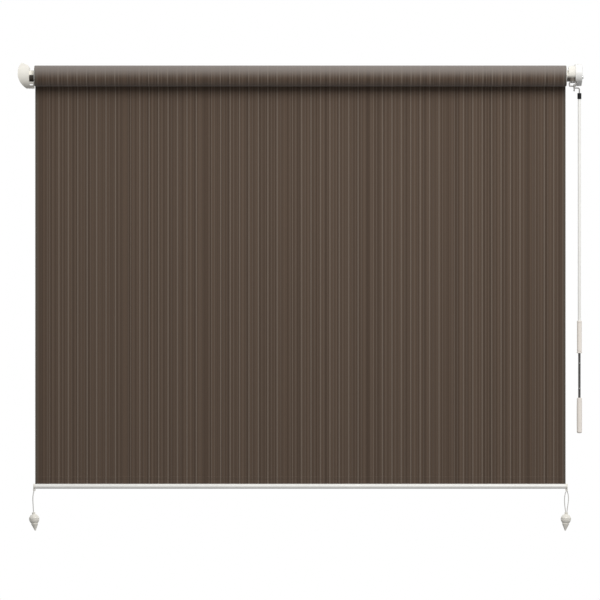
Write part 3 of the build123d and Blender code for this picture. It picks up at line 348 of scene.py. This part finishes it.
def striped_cloth(cloth):
    """Woven acrylic cloth: yarns both ways, streaks along the warp, thin bright stripes and grey edges."""
    material, tree, shader = new_material("striped_cloth", 0.7, specular=0.2)
    shader.inputs["Sheen Weight"].default_value = 0.3
    shader.inputs["Sheen Roughness"].default_value = 0.5
    shader.inputs["Sheen Tint"].default_value = (1.0, 0.97, 0.95, 1.0)
    split = put(tree, "ShaderNodeSeparateXYZ", {0: put(tree, "ShaderNodeUVMap", uv_map="UVMap").outputs[0]})
    across, down = split.outputs[0], split.outputs[1]
    stripes, ribs = cloth_stripes(tree, across, cloth)
    streaks = put(tree, "ShaderNodeTexNoise", {"W": across, "Scale": 260.0, "Detail": 2.0},
                  noise_dimensions="1D").outputs[0]
    bands = put(tree, "ShaderNodeTexNoise", {"W": across, "Scale": 62.0, "Detail": 3.0},
                noise_dimensions="1D").outputs[0]
    tone = span(tree, maths(tree, "ADD", streaks, bands), 0.86, 1.12)
    body = mixed(tree, tone, rgba(cloth.dark), rgba(cloth.base))
    body = mixed(tree, stripes, body, rgba(cloth.bright))
    edge = span(tree, maths(tree, "ABSOLUTE", across), HALF_WIDTH - cloth.selvedge,
                HALF_WIDTH - cloth.selvedge * 0.8)
    body = mixed(tree, edge, body, rgba(cloth.edge))
    # Painted sheen: the roll's upper side is made lighter and greyer, as if lit from above
    painted_sheen = maths(tree, "MULTIPLY", span(tree, down, 0.0, cloth.painted_sheen_start, smooth=True),
                  span(tree, down, cloth.painted_sheen_end, cloth.painted_sheen_full, smooth=True))
    body = mixed(tree, maths(tree, "MULTIPLY", painted_sheen, 0.8), body, rgba(cloth.painted_sheen_tone))
    # Painted shadow: a band near the hem's foot, darkened well below the dark yarn, where the cloth enters the
    # rail
    low = HEM_HIGH.z - cloth.shadow_line_low
    line = maths(tree, "MULTIPLY", span(tree, down, low - 0.001, low, smooth=True),
                 span(tree, down, low + cloth.line_width, low + cloth.line_width - 0.001, smooth=True))
    body = mixed(tree, maths(tree, "MULTIPLY", line, 0.8), body, rgba(cloth.dark, 0.35))
    turn = 2 * pi / cloth.yarn
    warp = maths(tree, "SINE", maths(tree, "MULTIPLY", across, turn))
    weft = maths(tree, "SINE", maths(tree, "MULTIPLY", down, turn))
    weave = span(tree, maths(tree, "MULTIPLY", warp, weft), -1.0, 1.0)
    slubs = put(tree, "ShaderNodeTexNoise", {"Vector": put(tree, "ShaderNodeCombineXYZ", {
        0: maths(tree, "MULTIPLY", across, 8.0), 1: down}).outputs[0], "Scale": 110.0, "Detail": 3.0}).outputs[0]
    shade = maths(tree, "MULTIPLY", span(tree, weave, 0.0, 1.0, 0.93, 1.06),
                  span(tree, slubs, 0.3, 0.7, 0.95, 1.05))
    values = {0: 1.0, 6: body, 7: put(tree, "ShaderNodeCombineColor", {0: shade, 1: shade, 2: shade}).outputs[0]}
    tinted = put(tree, "ShaderNodeMix", values, data_type="RGBA", blend_type="MULTIPLY").outputs[2]
    tree.links.new(tinted, shader.inputs["Base Color"])
    tree.links.new(span(tree, slubs, 0.3, 0.7, 0.62, 0.78), shader.inputs["Roughness"])
    height = maths(tree, "ADD", maths(tree, "MULTIPLY", weave, 0.5), maths(tree, "MULTIPLY", ribs, 0.5))
    bump(tree, shader, height, 0.35, 0.0004)
    return material


def woven(cloth):
    """The cloth's material, made once."""
    return bpy.data.materials.get("striped_cloth") or striped_cloth(cloth)


def laid_yarn(name, tone, turn):
    """Twisted fibres that run round a cord or thread, from its own UV map."""
    material, tree, shader = new_material(name, 0.8, specular=0.25)
    shader.inputs["Sheen Weight"].default_value = 0.3
    split = put(tree, "ShaderNodeSeparateXYZ", {0: put(tree, "ShaderNodeUVMap", uv_map="UVMap").outputs[0]})
    slant = maths(tree, "ADD", maths(tree, "MULTIPLY", split.outputs[0], 18.0),
                  maths(tree, "MULTIPLY", split.outputs[1], 1.0 / turn))
    fibres = maths(tree, "SINE", maths(tree, "MULTIPLY", slant, 2 * pi))
    place = put(tree, "ShaderNodeTexCoord").outputs["Object"]
    fuzz = noise(tree, place, 1500.0, 2.0)
    level = maths(tree, "ADD", span(tree, fibres, -1.0, 1.0, 0.0, 0.5), maths(tree, "MULTIPLY", fuzz, 0.5))
    tree.links.new(mixed(tree, level, rgba(tone, 0.78), rgba(tone)), shader.inputs["Base Color"])
    tree.links.new(span(tree, fuzz, 0.3, 0.7, 0.7, 0.9), shader.inputs["Roughness"])
    bump(tree, shader, level, 0.5, 0.0002)
    return material


def sewing_thread(tone):
    """Dark bonded thread."""
    material, tree, shader = new_material("sewing_thread", 0.6, specular=0.3)
    place = put(tree, "ShaderNodeTexCoord").outputs["Object"]
    twist = noise(tree, place, 1800.0, 1.0, (2.0, 1.0, 1.0))
    tree.links.new(mixed(tree, twist, rgba(tone, 0.6), rgba(tone, 1.5)), shader.inputs["Base Color"])
    bump(tree, shader, twist, 0.3, 0.0001)
    return material


# Mesh helpers

def finished(name, mesh, material, body, slot, *nodes):
    """Show a mesh as one piece on a body, in place of CAD nodes."""
    if not mesh.materials:
        mesh.materials.append(material)
    piece = bpy.data.objects.new(name, mesh)
    bpy.context.scene.collection.objects.link(piece)
    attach(piece, body)
    if nodes:
        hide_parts(*nodes)
    return piece


def paint(material, *nodes):
    """Give CAD nodes a finish."""
    for name in nodes:
        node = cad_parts[name]
        if not node.material_slots:
            node.data.materials.append(material)
        for slot in node.material_slots:
            slot.material = material


def swept(name, rings, places):
    """A closed mesh from rings of points, one after the other. places gives each point's UV."""
    shape = bmesh.new()
    uv = shape.loops.layers.uv.new("UVMap")
    grid = [[shape.verts.new(point) for point in ring] for ring in rings]
    size = len(rings[0])
    for i in range(len(rings) - 1):
        for j in range(size):
            k = (j + 1) % size
            face = shape.faces.new((grid[i][j], grid[i][k], grid[i + 1][k], grid[i + 1][j]))
            corners = (places(i, j), places(i, j + 1), places(i + 1, j + 1), places(i + 1, j))
            for loop, corner in zip(face.loops, corners):
                loop[uv].uv = corner
    for row in (0, len(rings) - 1):
        face = shape.faces.new(grid[row])
        for j, loop in enumerate(face.loops):
            loop[uv].uv = places(row, j)
    bmesh.ops.recalc_face_normals(shape, faces=shape.faces)
    for face in shape.faces:
        face.smooth = True
    mesh = bpy.data.meshes.new(name)
    shape.to_mesh(mesh)
    shape.free()
    mesh.set_sharp_from_angle(angle=pi / 4)
    return mesh


def route_line(route):
    """Points along the smooth line of a cord's route."""
    curve = bpy.data.curves.new("route", "CURVE")
    curve.dimensions = "3D"
    curve.resolution_u = 24
    spline = curve.splines.new("NURBS")
    spline.points.add(len(route) - 1)
    for point, place in zip(spline.points, route):
        point.co = (place[0], CLOTH_MIDDLE + place[1], place[2], 1.0)
    spline.order_u = 3
    spline.use_endpoint_u = True
    line = bpy.data.objects.new("route", curve)
    bpy.context.scene.collection.objects.link(line)
    mesh = bpy.data.meshes.new_from_object(line.evaluated_get(bpy.context.evaluated_depsgraph_get()))
    points = [vertex.co.copy() for vertex in mesh.vertices]
    bpy.data.objects.remove(line)
    bpy.data.curves.remove(curve)
    bpy.data.meshes.remove(mesh)
    return points


def rope_mesh(name, points, radius, turn):
    """Three strands laid round a line of points: a lobed section that turns as it goes."""
    across = Vector((1.0, 0.0, 0.0))
    gone = 0.0
    rings, run = [], []
    for i, point in enumerate(points):
        ahead = points[min(i + 1, len(points) - 1)] - points[max(i - 1, 0)]
        ahead.normalize()
        across = (across - ahead * across.dot(ahead)).normalized()
        up = ahead.cross(across)
        if i:
            gone += (point - points[i - 1]).length
        ring = []
        for j in range(ROPE_SIDES):
            angle = 2 * pi * j / ROPE_SIDES
            lobe = abs(cos(1.5 * (angle - 2 * pi * gone / turn)))
            reach = radius * (ROPE_CORE + ROPE_LOBE * sqrt(lobe))
            ring.append(point + across * (reach * cos(angle)) + up * (reach * sin(angle)))
        rings.append(ring)
        run.append(gone)
    return swept(name, rings, places=lambda i, j: (j / ROPE_SIDES, run[i]))


def new_tree(name, inputs):
    """An empty Geometry Nodes tree with named inputs; returns it, its input node and its sockets' identifiers."""
    tree = bpy.data.node_groups.new(name, "GeometryNodeTree")
    tree.interface.new_socket("Geometry", in_out="OUTPUT", socket_type="NodeSocketGeometry")
    tree.interface.new_socket("Geometry", in_out="INPUT", socket_type="NodeSocketGeometry")
    kinds = {"length": "NodeSocketFloat", "count": "NodeSocketInt", "material": "NodeSocketMaterial"}
    names = {label: tree.interface.new_socket(label, in_out="INPUT", socket_type=kinds[kind]).identifier
             for label, kind in inputs}
    return tree, tree.nodes.new("NodeGroupInput"), names


def close_tree(tree, geometry, material):
    """Make instances real, set the material, and end the tree."""
    real = put(tree, "GeometryNodeRealizeInstances", {"Geometry": geometry}).outputs[0]
    painted = put(tree, "GeometryNodeSetMaterial", {"Geometry": real, "Material": material}).outputs[0]
    tree.links.new(painted, tree.nodes.new("NodeGroupOutput").inputs[0])


def grown(name, tree, names, values):
    """Run a tree once with these values and keep the plain mesh it makes."""
    holder = bpy.data.objects.new(name, bpy.data.meshes.new(name))
    modifier = holder.modifiers.new(tree.name, "NODES")
    modifier.node_group = tree
    for label, value in values.items():
        modifier[names[label]] = value
    bpy.context.scene.collection.objects.link(holder)
    mesh = bpy.data.meshes.new_from_object(holder.evaluated_get(bpy.context.evaluated_depsgraph_get()))
    mesh.name = name
    bpy.data.objects.remove(holder)
    return mesh


def ribbed_cloth_tree():
    """A flat sheet that hangs in X and Z, with groups of raised ribs on its front and a slight wave."""
    tree, start, names = new_tree("ribbed_cloth", [
        ("Width", "length"), ("Drop", "length"), ("Top", "length"), ("Back", "length"), ("Thickness", "length"),
        ("Rib Height", "length"), ("Rib Width", "length"), ("Rib Pitch", "length"), ("Group Pitch", "length"),
        ("First Rib", "length"), ("Ribs in Group", "count"), ("Columns", "count"), ("Rows", "count"),
        ("Wave", "length"), ("Material", "material")])
    value = start.outputs
    grid = put(tree, "GeometryNodeMeshGrid", {"Size X": value["Width"], "Size Y": value["Drop"],
                                              "Vertices X": value["Columns"], "Vertices Y": value["Rows"]})
    place = put(tree, "ShaderNodeSeparateXYZ", {0: put(tree, "GeometryNodeInputPosition").outputs[0]})
    across, up = place.outputs[0], place.outputs[1]
    height = maths(tree, "ADD", maths(tree, "SUBTRACT", up, maths(tree, "MULTIPLY", value["Drop"], 0.5)),
                   value["Top"])
    share = maths(tree, "ADD", maths(tree, "DIVIDE", up, value["Drop"]), 0.5)
    hold = maths(tree, "SINE", maths(tree, "MULTIPLY", share, pi))
    slow = maths(tree, "SINE", maths(tree, "MULTIPLY", across, SLOW_WAVE))
    cross = maths(tree, "SINE", maths(tree, "ADD", maths(tree, "MULTIPLY", across, CROSS_WAVE_ACROSS),
                                      maths(tree, "MULTIPLY", up, CROSS_WAVE_UP)))
    bow = maths(tree, "MULTIPLY", maths(tree, "MULTIPLY", maths(tree, "MULTIPLY", slow, cross), hold),
                value["Wave"])
    flat = put(tree, "ShaderNodeCombineXYZ", {0: across, 1: maths(tree, "ADD", value["Back"], bow), 2: height})
    map_place = put(tree, "ShaderNodeCombineXYZ", {0: across, 1: height})
    hung = put(tree, "GeometryNodeStoreNamedAttribute", {"Geometry": grid.outputs[0], "Name": "UVMap",
                                                         "Value": map_place.outputs[0]},
               data_type="FLOAT2", domain="CORNER").outputs[0]
    hung = put(tree, "GeometryNodeSetPosition", {"Geometry": hung, "Position": flat.outputs[0]}).outputs[0]
    forward = put(tree, "ShaderNodeCombineXYZ", {1: maths(tree, "MULTIPLY", value["Thickness"], -1.0)})
    thick = put(tree, "GeometryNodeExtrudeMesh", {"Mesh": hung, "Offset": forward.outputs[0],
                                                  "Offset Scale": 1.0, "Individual": False}, mode="FACES")
    offset = maths(tree, "SUBTRACT", across, maths(tree, "SUBTRACT", value["First Rib"],
                                                   maths(tree, "MULTIPLY", value["Group Pitch"], 4.0)))
    inside = maths(tree, "FLOORED_MODULO", offset, value["Group Pitch"])
    last = maths(tree, "MULTIPLY", maths(tree, "SUBTRACT", value["Ribs in Group"], 0.5), value["Rib Pitch"])
    grouped = maths(tree, "LESS_THAN", inside, last)
    half = maths(tree, "MULTIPLY", value["Rib Pitch"], 0.5)
    from_rib = maths(tree, "ABSOLUTE", maths(tree, "SUBTRACT", maths(
        tree, "FLOORED_MODULO", maths(tree, "ADD", inside, half), value["Rib Pitch"]), half))
    crown = span(tree, from_rib, maths(tree, "MULTIPLY", value["Rib Width"], 0.5),
                 maths(tree, "MULTIPLY", value["Rib Width"], 0.25), smooth=True)
    lift = maths(tree, "MULTIPLY", maths(tree, "MULTIPLY", crown, grouped), value["Rib Height"])
    rise = put(tree, "ShaderNodeCombineXYZ", {1: maths(tree, "MULTIPLY", lift, -1.0)})
    ribbed = put(tree, "GeometryNodeSetPosition", {"Geometry": thick.outputs["Mesh"],
                                                   "Selection": thick.outputs["Top"],
                                                   "Offset": rise.outputs[0]}).outputs[0]
    back = put(tree, "GeometryNodeFlipFaces", {"Mesh": hung}).outputs[0]
    both = tree.nodes.new("GeometryNodeJoinGeometry")
    tree.links.new(ribbed, both.inputs[0])
    tree.links.new(back, both.inputs[0])
    whole = put(tree, "GeometryNodeMergeByDistance", {"Geometry": both.outputs[0], "Distance": 0.00002}).outputs[0]
    close_tree(tree, whole, value["Material"])
    return tree, names


def stitch_rows_tree():
    """Rows of small stitches along X, on the front and the back of a doubled cloth."""
    tree, start, names = new_tree("stitch_rows", [
        ("Half Width", "length"), ("Pitch", "length"), ("Stitch Length", "length"), ("Thread", "length"),
        ("Count", "count"), ("First Row", "length"), ("Row Gap", "length"), ("Front", "length"),
        ("Back", "length"), ("Material", "material")])
    value = start.outputs
    bead = put(tree, "GeometryNodeMeshUVSphere", {"Segments": 6, "Rings": 4, "Radius": 0.5}).outputs[0]
    size = put(tree, "ShaderNodeCombineXYZ", {0: value["Thread"], 1: value["Thread"], 2: value["Stitch Length"]})
    lying = put(tree, "GeometryNodeTransform", {"Geometry": bead, "Scale": size.outputs[0]}).outputs[0]
    lying = put(tree, "GeometryNodeTransform", {"Geometry": lying, "Rotation": (0.0, pi / 2, 0.0)}).outputs[0]
    rows = tree.nodes.new("GeometryNodeJoinGeometry")
    left = maths(tree, "SUBTRACT", maths(tree, "MULTIPLY", value["Pitch"], 0.5), value["Half Width"])
    step = put(tree, "ShaderNodeCombineXYZ", {0: value["Pitch"]})
    for face in ("Front", "Back"):
        for row in (0, 1):
            level = maths(tree, "SUBTRACT", value["First Row"],
                          maths(tree, "MULTIPLY", value["Row Gap"], float(row)))
            origin = put(tree, "ShaderNodeCombineXYZ", {0: left, 1: value[face], 2: level})
            values = {"Count": value["Count"], "Start Location": origin.outputs[0], "Offset": step.outputs[0]}
            line = put(tree, "GeometryNodeMeshLine", values, mode="OFFSET").outputs[0]
            placed = put(tree, "GeometryNodeInstanceOnPoints", {"Points": line, "Instance": lying}).outputs[0]
            tree.links.new(placed, rows.inputs[0])
    smooth = put(tree, "GeometryNodeSetShadeSmooth", {"Geometry": rows.outputs[0]}).outputs[0]
    close_tree(tree, smooth, value["Material"])
    return tree, names


# Operators

class SHADE_OT_studio(bpy.types.Operator):
    """Place the camera, the lamps, the white surroundings and the pale floor."""
    bl_idname = "shade.studio"
    bl_label = "Studio"

    def execute(self, context):
        studio = context.scene.shade_studio
        camera = bpy.data.objects.new("camera", bpy.data.cameras.new("camera"))
        context.scene.collection.objects.link(camera)
        camera.location = (studio.frame_x, ROLLER_DEPTH - studio.camera_distance, studio.frame_z)
        camera.rotation_euler = (pi / 2, 0.0, 0.0)
        camera.data.sensor_width = 36.0
        camera.data.lens = camera.data.sensor_width * studio.camera_distance / studio.frame_width
        camera.data.clip_end = 4 * studio.camera_distance
        context.scene.camera = camera
        context.scene.view_settings.view_transform = "Standard"
        self.lamp(*KEY_LAMP, studio.key_power)
        self.lamp(*TOP_LAMP, studio.top_power)
        self.surroundings(context)
        self.floor(context, studio)
        return {"FINISHED"}

    def lamp(self, name, place, aim, width, depth, power):
        """One soft rectangular lamp that looks at a point."""
        light = bpy.data.lights.new(name, "AREA")
        light.shape = "RECTANGLE"
        light.size = width
        light.size_y = depth
        light.energy = power
        lamp = bpy.data.objects.new(name, light)
        bpy.context.scene.collection.objects.link(lamp)
        lamp.location = place
        lamp.rotation_euler = (Vector(aim) - Vector(place)).to_track_quat("-Z", "Y").to_euler()

    def surroundings(self, context):
        """White for the camera and for gloss, and a softer light from above and a little from the right."""
        world = bpy.data.worlds.new("studio")
        world.use_nodes = True
        tree = world.node_tree
        tree.nodes.clear()
        path = put(tree, "ShaderNodeLightPath")
        seen = maths(tree, "MAXIMUM", path.outputs["Is Camera Ray"],
                     maths(tree, "MAXIMUM", path.outputs["Is Glossy Ray"], path.outputs["Is Transmission Ray"]))
        way = put(tree, "ShaderNodeSeparateXYZ", {0: put(tree, "ShaderNodeTexCoord").outputs["Generated"]})
        lean = context.scene.shade_studio.lean
        upward = maths(tree, "ADD", way.outputs[2], maths(tree, "MULTIPLY", way.outputs[0], lean))
        level = span(tree, upward, *SOFT_LIGHT)
        soft = put(tree, "ShaderNodeBackground", {"Color": (1.0, 1.0, 1.0, 1.0), "Strength": level})
        white = put(tree, "ShaderNodeBackground", {"Color": (1.0, 1.0, 1.0, 1.0), "Strength": 1.0})
        mix = put(tree, "ShaderNodeMixShader", {0: seen, 1: soft.outputs[0], 2: white.outputs[0]})
        put(tree, "ShaderNodeOutputWorld", {0: mix.outputs[0]})
        context.scene.world = world

    def floor(self, context, studio):
        """A pale floor that takes the shadow."""
        shape = bmesh.new()
        bmesh.ops.create_grid(shape, x_segments=1, y_segments=1, size=studio.floor_size / 2)
        mesh = bpy.data.meshes.new("studio_floor")
        shape.to_mesh(mesh)
        shape.free()
        floor_piece = bpy.data.objects.new("studio_floor", mesh)
        floor_piece.location = (0.0, 0.0, studio.floor_z)
        context.scene.collection.objects.link(floor_piece)
        material, tree, shader = new_material("pale_floor", 0.9, specular=0.1)
        camera_ray = put(tree, "ShaderNodeLightPath").outputs["Is Camera Ray"]
        tone = rgba(studio.floor_colour)
        tree.links.new(mixed(tree, camera_ray, rgba(studio.floor_colour, 0.4), tone), shader.inputs["Base Color"])
        mesh.materials.append(material)


class SHADE_OT_cord_loops(bpy.types.Operator):
    """Lay the two cord loops that hang the weights from the rail's eyelets."""
    bl_idname = "shade.cord_loops"
    bl_label = "Cord Loops"

    def execute(self, context):
        seams = context.scene.shade_seams
        yarn = laid_yarn("laid_cord", seams.cord_colour, seams.cord_twist)
        for side, route, true_length in (("left", LEFT_ROUTE, LEFT_LENGTH), ("right", RIGHT_ROUTE, RIGHT_LENGTH)):
            points = route_line(route)
            mesh = rope_mesh(side + "_cord_loop", points, seams.cord_width / 2, seams.cord_twist)
            cord = finished(side + "_cord_loop", mesh, yarn, side + "_hold_down", "cord", side + "_cord")
        return {"FINISHED"}


class SHADE_OT_hanging_cloth(bpy.types.Operator):
    """Weave the striped cloth that hangs from the roll to the hem."""
    bl_idname = "shade.hanging_cloth"
    bl_label = "Hanging Cloth"

    def execute(self, context):
        cloth = context.scene.shade_cloth
        material = woven(cloth)
        tree, names = ribbed_cloth_tree()
        drop = cloth.tuck - cloth.leave - HEM_HIGH.z
        mesh = grown("hanging_cloth_sheet", tree, names, {
            "Width": 2 * HALF_WIDTH, "Drop": drop, "Top": -cloth.leave, "Back": CLOTH_HIGH.y,
            "Thickness": cloth.thickness, "Rib Height": cloth.rib_height, "Rib Width": cloth.rib_width,
            "Rib Pitch": cloth.rib_pitch, "Group Pitch": cloth.group_pitch, "First Rib": cloth.first_rib,
            "Ribs in Group": cloth.ribs_in_group, "Rows": CLOTH_ROWS,
            "Columns": int(2 * HALF_WIDTH / cloth.rib_width * COLUMNS_IN_RIB),
            "Wave": cloth.wave, "Material": material})
        sheet = finished("hanging_cloth_sheet", mesh, material, "root", "shade_cloth", "hanging_cloth")
        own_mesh(sheet)
        return {"FINISHED"}


class SHADE_OT_hem(bpy.types.Operator):
    """Fold the cloth's doubled end, with its pocket round the rail's bead and two sewn grooves."""
    bl_idname = "shade.hem"
    bl_label = "Hem"

    def execute(self, context):
        cloth = context.scene.shade_cloth
        seams = context.scene.shade_seams
        top = HEM_HIGH.z
        bead_z = (BEAD_LOW.z + BEAD_HIGH.z) / 2
        pocket = bead_z - HEM_LOW.z
        edge = [(HEM_HALF - HEM_BEVEL_DEPTH, top), (HEM_HALF, top - HEM_BEVEL_HEIGHT)]
        for row in (seams.first_row, seams.first_row + seams.row_gap):
            edge += [(HEM_HALF, top - (row - GROOVE_HALF_WIDTH)), (HEM_HALF - GROOVE_DEPTH, top - row),
                     (HEM_HALF, top - (row + GROOVE_HALF_WIDTH))]
        edge += [(HEM_HALF, top - depth) for depth in HEM_PLAIN_DEPTHS]
        first = atan(sqrt(pocket ** 2 - HEM_HALF ** 2) / HEM_HALF)
        ring = [(pocket * cos(angle), bead_z + pocket * sin(angle))
                for angle in (first - (first + pi / 2) * i / POCKET_STEPS for i in range(POCKET_STEPS))]
        section = edge + ring + [(0.0, HEM_LOW.z)]
        outline = section + [(-y, z) for y, z in reversed(section[:-1])]
        run = [0.0]
        for before, after in zip(outline, outline[1:]):
            run.append(run[-1] + sqrt((after[0] - before[0]) ** 2 + (after[1] - before[1]) ** 2))
        columns = [-HALF_WIDTH + 2 * HALF_WIDTH * i / HEM_COLUMNS for i in range(HEM_COLUMNS + 1)]
        rings = [[(x, CLOTH_MIDDLE + y, z) for y, z in outline] for x in columns]
        mesh = swept("hem_fold", rings, places=lambda i, j: (columns[i], top - run[j % len(run)]))
        material = woven(cloth)
        finished("hem_fold", mesh, material, "rail", "shade_cloth", "cloth_hem")
        return {"FINISHED"}


class SHADE_OT_hem_stitches(bpy.types.Operator):
    """Sew the hem with two rows of stitches on each face."""
    bl_idname = "shade.hem_stitches"
    bl_label = "Hem Stitches"

    def execute(self, context):
        seams = context.scene.shade_seams
        tree, names = stitch_rows_tree()
        material = sewing_thread(seams.thread_colour)
        mesh = grown("hem_stitches", tree, names, {
            "Half Width": HALF_WIDTH - STITCH_MARGIN, "Pitch": seams.stitch_pitch,
            "Stitch Length": seams.stitch_length, "Thread": seams.thread,
            "Count": floor(2 * (HALF_WIDTH - STITCH_MARGIN) / seams.stitch_pitch),
            "First Row": HEM_HIGH.z - seams.first_row, "Row Gap": seams.row_gap,
            "Front": CLOTH_MIDDLE - STITCH_DEPTH, "Back": CLOTH_MIDDLE + STITCH_DEPTH, "Material": material})
        finished("hem_stitches", mesh, material, "rail", "shade_cloth")
        return {"FINISHED"}


class SHADE_OT_wound_cloth(bpy.types.Operator):
    """Wind the cloth's inner turns on the tube, as one strip whose edges show the spiral."""
    bl_idname = "shade.wound_cloth"
    bl_label = "Wound Cloth"

    def execute(self, context):
        cloth = context.scene.shade_cloth
        wall_side = ROLLER_DEPTH + ROLL_RADIUS
        outer = [(wall_side, -cloth.leave)]
        inner = [(wall_side - cloth.wound_thickness, -cloth.leave)]
        run = [-cloth.leave, 0.0]
        for k in range(HALF_TURNS * TURN_STEPS + 1):
            i = min(k // TURN_STEPS, HALF_TURNS - 1)
            centre = ROLLER_DEPTH - (cloth.turn_pitch / 2 if i % 2 else 0.0)
            reach = ROLL_RADIUS - i * cloth.turn_pitch / 2
            angle = pi * k / TURN_STEPS
            outer.append((centre + reach * cos(angle), reach * sin(angle)))
            reach -= cloth.wound_thickness
            inner.append((centre + reach * cos(angle), reach * sin(angle)))
            run.append(run[-1] + reach * pi / TURN_STEPS)
        rings = []
        for k in range(len(outer)):
            ends = [HALF_WIDTH - UNEVEN_ENDS * (1 + sin(side + 1.9 * k / TURN_STEPS)) for side in (0.0, 2.4)]
            rings.append([(-ends[0], *outer[k]), (ends[1], *outer[k]), (ends[1], *inner[k]),
                          (-ends[0], *inner[k])])
        mesh = swept("wound_cloth_roll", rings, places=lambda i, j: (rings[i][j % 4][0], run[i]))
        material = woven(cloth)
        roll = finished("wound_cloth_roll", mesh, material, "roller", "shade_cloth", "wound_cloth")
        return {"FINISHED"}


class SHADE_OT_brackets(bpy.types.Operator):
    """Finish the wall brackets, their covers and screws."""
    bl_idname = "shade.brackets"
    bl_label = "Brackets"

    def execute(self, context):
        finishes = context.scene.shade_finishes
        paint(moulded_plastic("cover_plastic", finishes.cream), "left_bracket_cover")
        paint(moulded_plastic("right_cover_plastic", finishes.white), "right_bracket_cover", "gear_lid")
        # Painted shade on the left hub's lower half
        paint(moulded_plastic("hub_plastic", finishes.cream, pad=finishes.pad, painted_shade_top=0.004), "left_hub")
        # Painted shade: the gear housing darkens smoothly towards its underside, as if in shadow
        paint(moulded_plastic("housing_plastic", finishes.cream, pad=finishes.housing_painted_shade, painted_shade_top=0.003,
                              painted_shade_edge=0.013), "gear_housing")
        paint(powder_coat("bracket_paint", finishes.rail, 0.45), "left_wall_plate", "right_wall_plate")
        paint(drawn_metal("screw_steel", finishes.steel, 0.3, (30.0, 1.0, 1.0)), "left_cover_screw",
              "right_cover_screw", "gear_screws")
        return {"FINISHED"}


class SHADE_OT_roller_parts(bpy.types.Operator):
    """Finish the tube, the plugs, the bushings and the gear inside."""
    bl_idname = "shade.roller_parts"
    bl_label = "Roller and Gear"

    def execute(self, context):
        finishes = context.scene.shade_finishes
        paint(drawn_metal("tube_aluminium", finishes.tube, 0.36, (1.0, 60.0, 60.0)), "roller_tube")
        paint(moulded_plastic("inner_nylon", finishes.inner, 0.5, 0.4), "idler_plug", "drive_plug",
              "idler_bushing", "output_bushing", "worm_bushing", "worm_wheel", "cloth_key_strip", "hem_bead")
        paint(drawn_metal("turned_steel", finishes.steel, 0.28, (60.0, 2.0, 2.0)), "idler_pin", "idler_nut",
              "idler_clip", "drive_shaft", "worm_shaft")
        return {"FINISHED"}


class SHADE_OT_rail(bpy.types.Operator):
    """Finish the bottom rail and its end caps."""
    bl_idname = "shade.rail"
    bl_label = "Bottom Rail"

    def execute(self, context):
        finishes = context.scene.shade_finishes
        paint(powder_coat("rail_paint", finishes.rail), "bottom_rail")
        paint(moulded_plastic("cap_plastic", finishes.cream, 0.4), "left_rail_cap", "right_rail_cap")
        return {"FINISHED"}


class SHADE_OT_wand(bpy.types.Operator):
    """Finish the drive eye, the hook, and the crank wand with its grips."""
    bl_idname = "shade.wand"
    bl_label = "Crank Wand"

    def execute(self, context):
        finishes = context.scene.shade_finishes
        paint(drawn_metal("galvanised_wire", finishes.wire, 0.42, (6.0, 6.0, 1.0)), "drive_eye", "wand_hook")
        paint(moulded_plastic("ferrule_plastic", finishes.black, 0.4, 0.2, 0.7), "hook_ferrule")
        paint(powder_coat("wand_paint", finishes.rail, 0.34), "wand_pole")
        paint(moulded_plastic("grip_plastic", finishes.grip, 0.36), "upper_grip", "lower_grip",
              "upper_collar", "lower_collar")
        paint(powder_coat("arm_paint", finishes.dark, 0.4, 0.8), "upper_fork", "crank_arm", "handle_knuckle")
        paint(drawn_metal("pin_steel", finishes.steel, 0.3, (2.0, 40.0, 2.0)), "elbow_pin", "knuckle_pin",
              "handle_rod", "grip_retainer")
        return {"FINISHED"}


class SHADE_OT_weights(bpy.types.Operator):
    """Finish the hold-down weights."""
    bl_idname = "shade.weights"
    bl_label = "Weights"

    def execute(self, context):
        finishes = context.scene.shade_finishes
        paint(moulded_plastic("weight_plastic", finishes.cream, 0.36), "left_weight_cap", "right_weight_cap",
              "left_weight_tip", "right_weight_tip")
        return {"FINISHED"}


STEPS = (SHADE_OT_studio, SHADE_OT_cord_loops, SHADE_OT_wound_cloth, SHADE_OT_hem, SHADE_OT_hem_stitches,
         SHADE_OT_hanging_cloth, SHADE_OT_brackets, SHADE_OT_roller_parts, SHADE_OT_rail, SHADE_OT_wand,
         SHADE_OT_weights)
GROUPS = {"shade_cloth": ShadeCloth, "shade_seams": ShadeSeams, "shade_finishes": ShadeFinishes,
          "shade_studio": ShadeStudio}


class SHADE_PT_panel(bpy.types.Panel):
    """Sizes, colours and steps of the roller shade."""
    bl_idname = "SHADE_PT_panel"
    bl_label = "Roller Shade"
    bl_space_type = "VIEW_3D"
    bl_region_type = "UI"
    bl_category = "Roller Shade"

    def draw(self, context):
        layout = self.layout
        for name, group in GROUPS.items():
            box = layout.box()
            box.label(text=name.replace("_", " ").title())
            for value in group.__annotations__:
                box.prop(getattr(context.scene, name), value)
        for step in STEPS:
            layout.operator(step.bl_idname)


def register():
    for group in GROUPS.values():
        bpy.utils.register_class(group)
    for name, group in GROUPS.items():
        setattr(bpy.types.Scene, name, PointerProperty(type=group))
    for step in (*STEPS, SHADE_PT_panel):
        bpy.utils.register_class(step)


def unregister():
    for step in (SHADE_PT_panel, *reversed(STEPS)):
        bpy.utils.unregister_class(step)
    for name, group in GROUPS.items():
        delattr(bpy.types.Scene, name)
        bpy.utils.unregister_class(group)


def main():
    """Register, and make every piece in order."""
    register()
    bpy.ops.shade.studio()
    bpy.ops.shade.cord_loops()
    bpy.ops.shade.wound_cloth()
    bpy.ops.shade.hem()
    bpy.ops.shade.hem_stitches()
    bpy.ops.shade.hanging_cloth()
    bpy.ops.shade.brackets()
    bpy.ops.shade.roller_parts()
    bpy.ops.shade.rail()
    bpy.ops.shade.wand()
    bpy.ops.shade.weights()


if __name__ == "__main__":
    main()
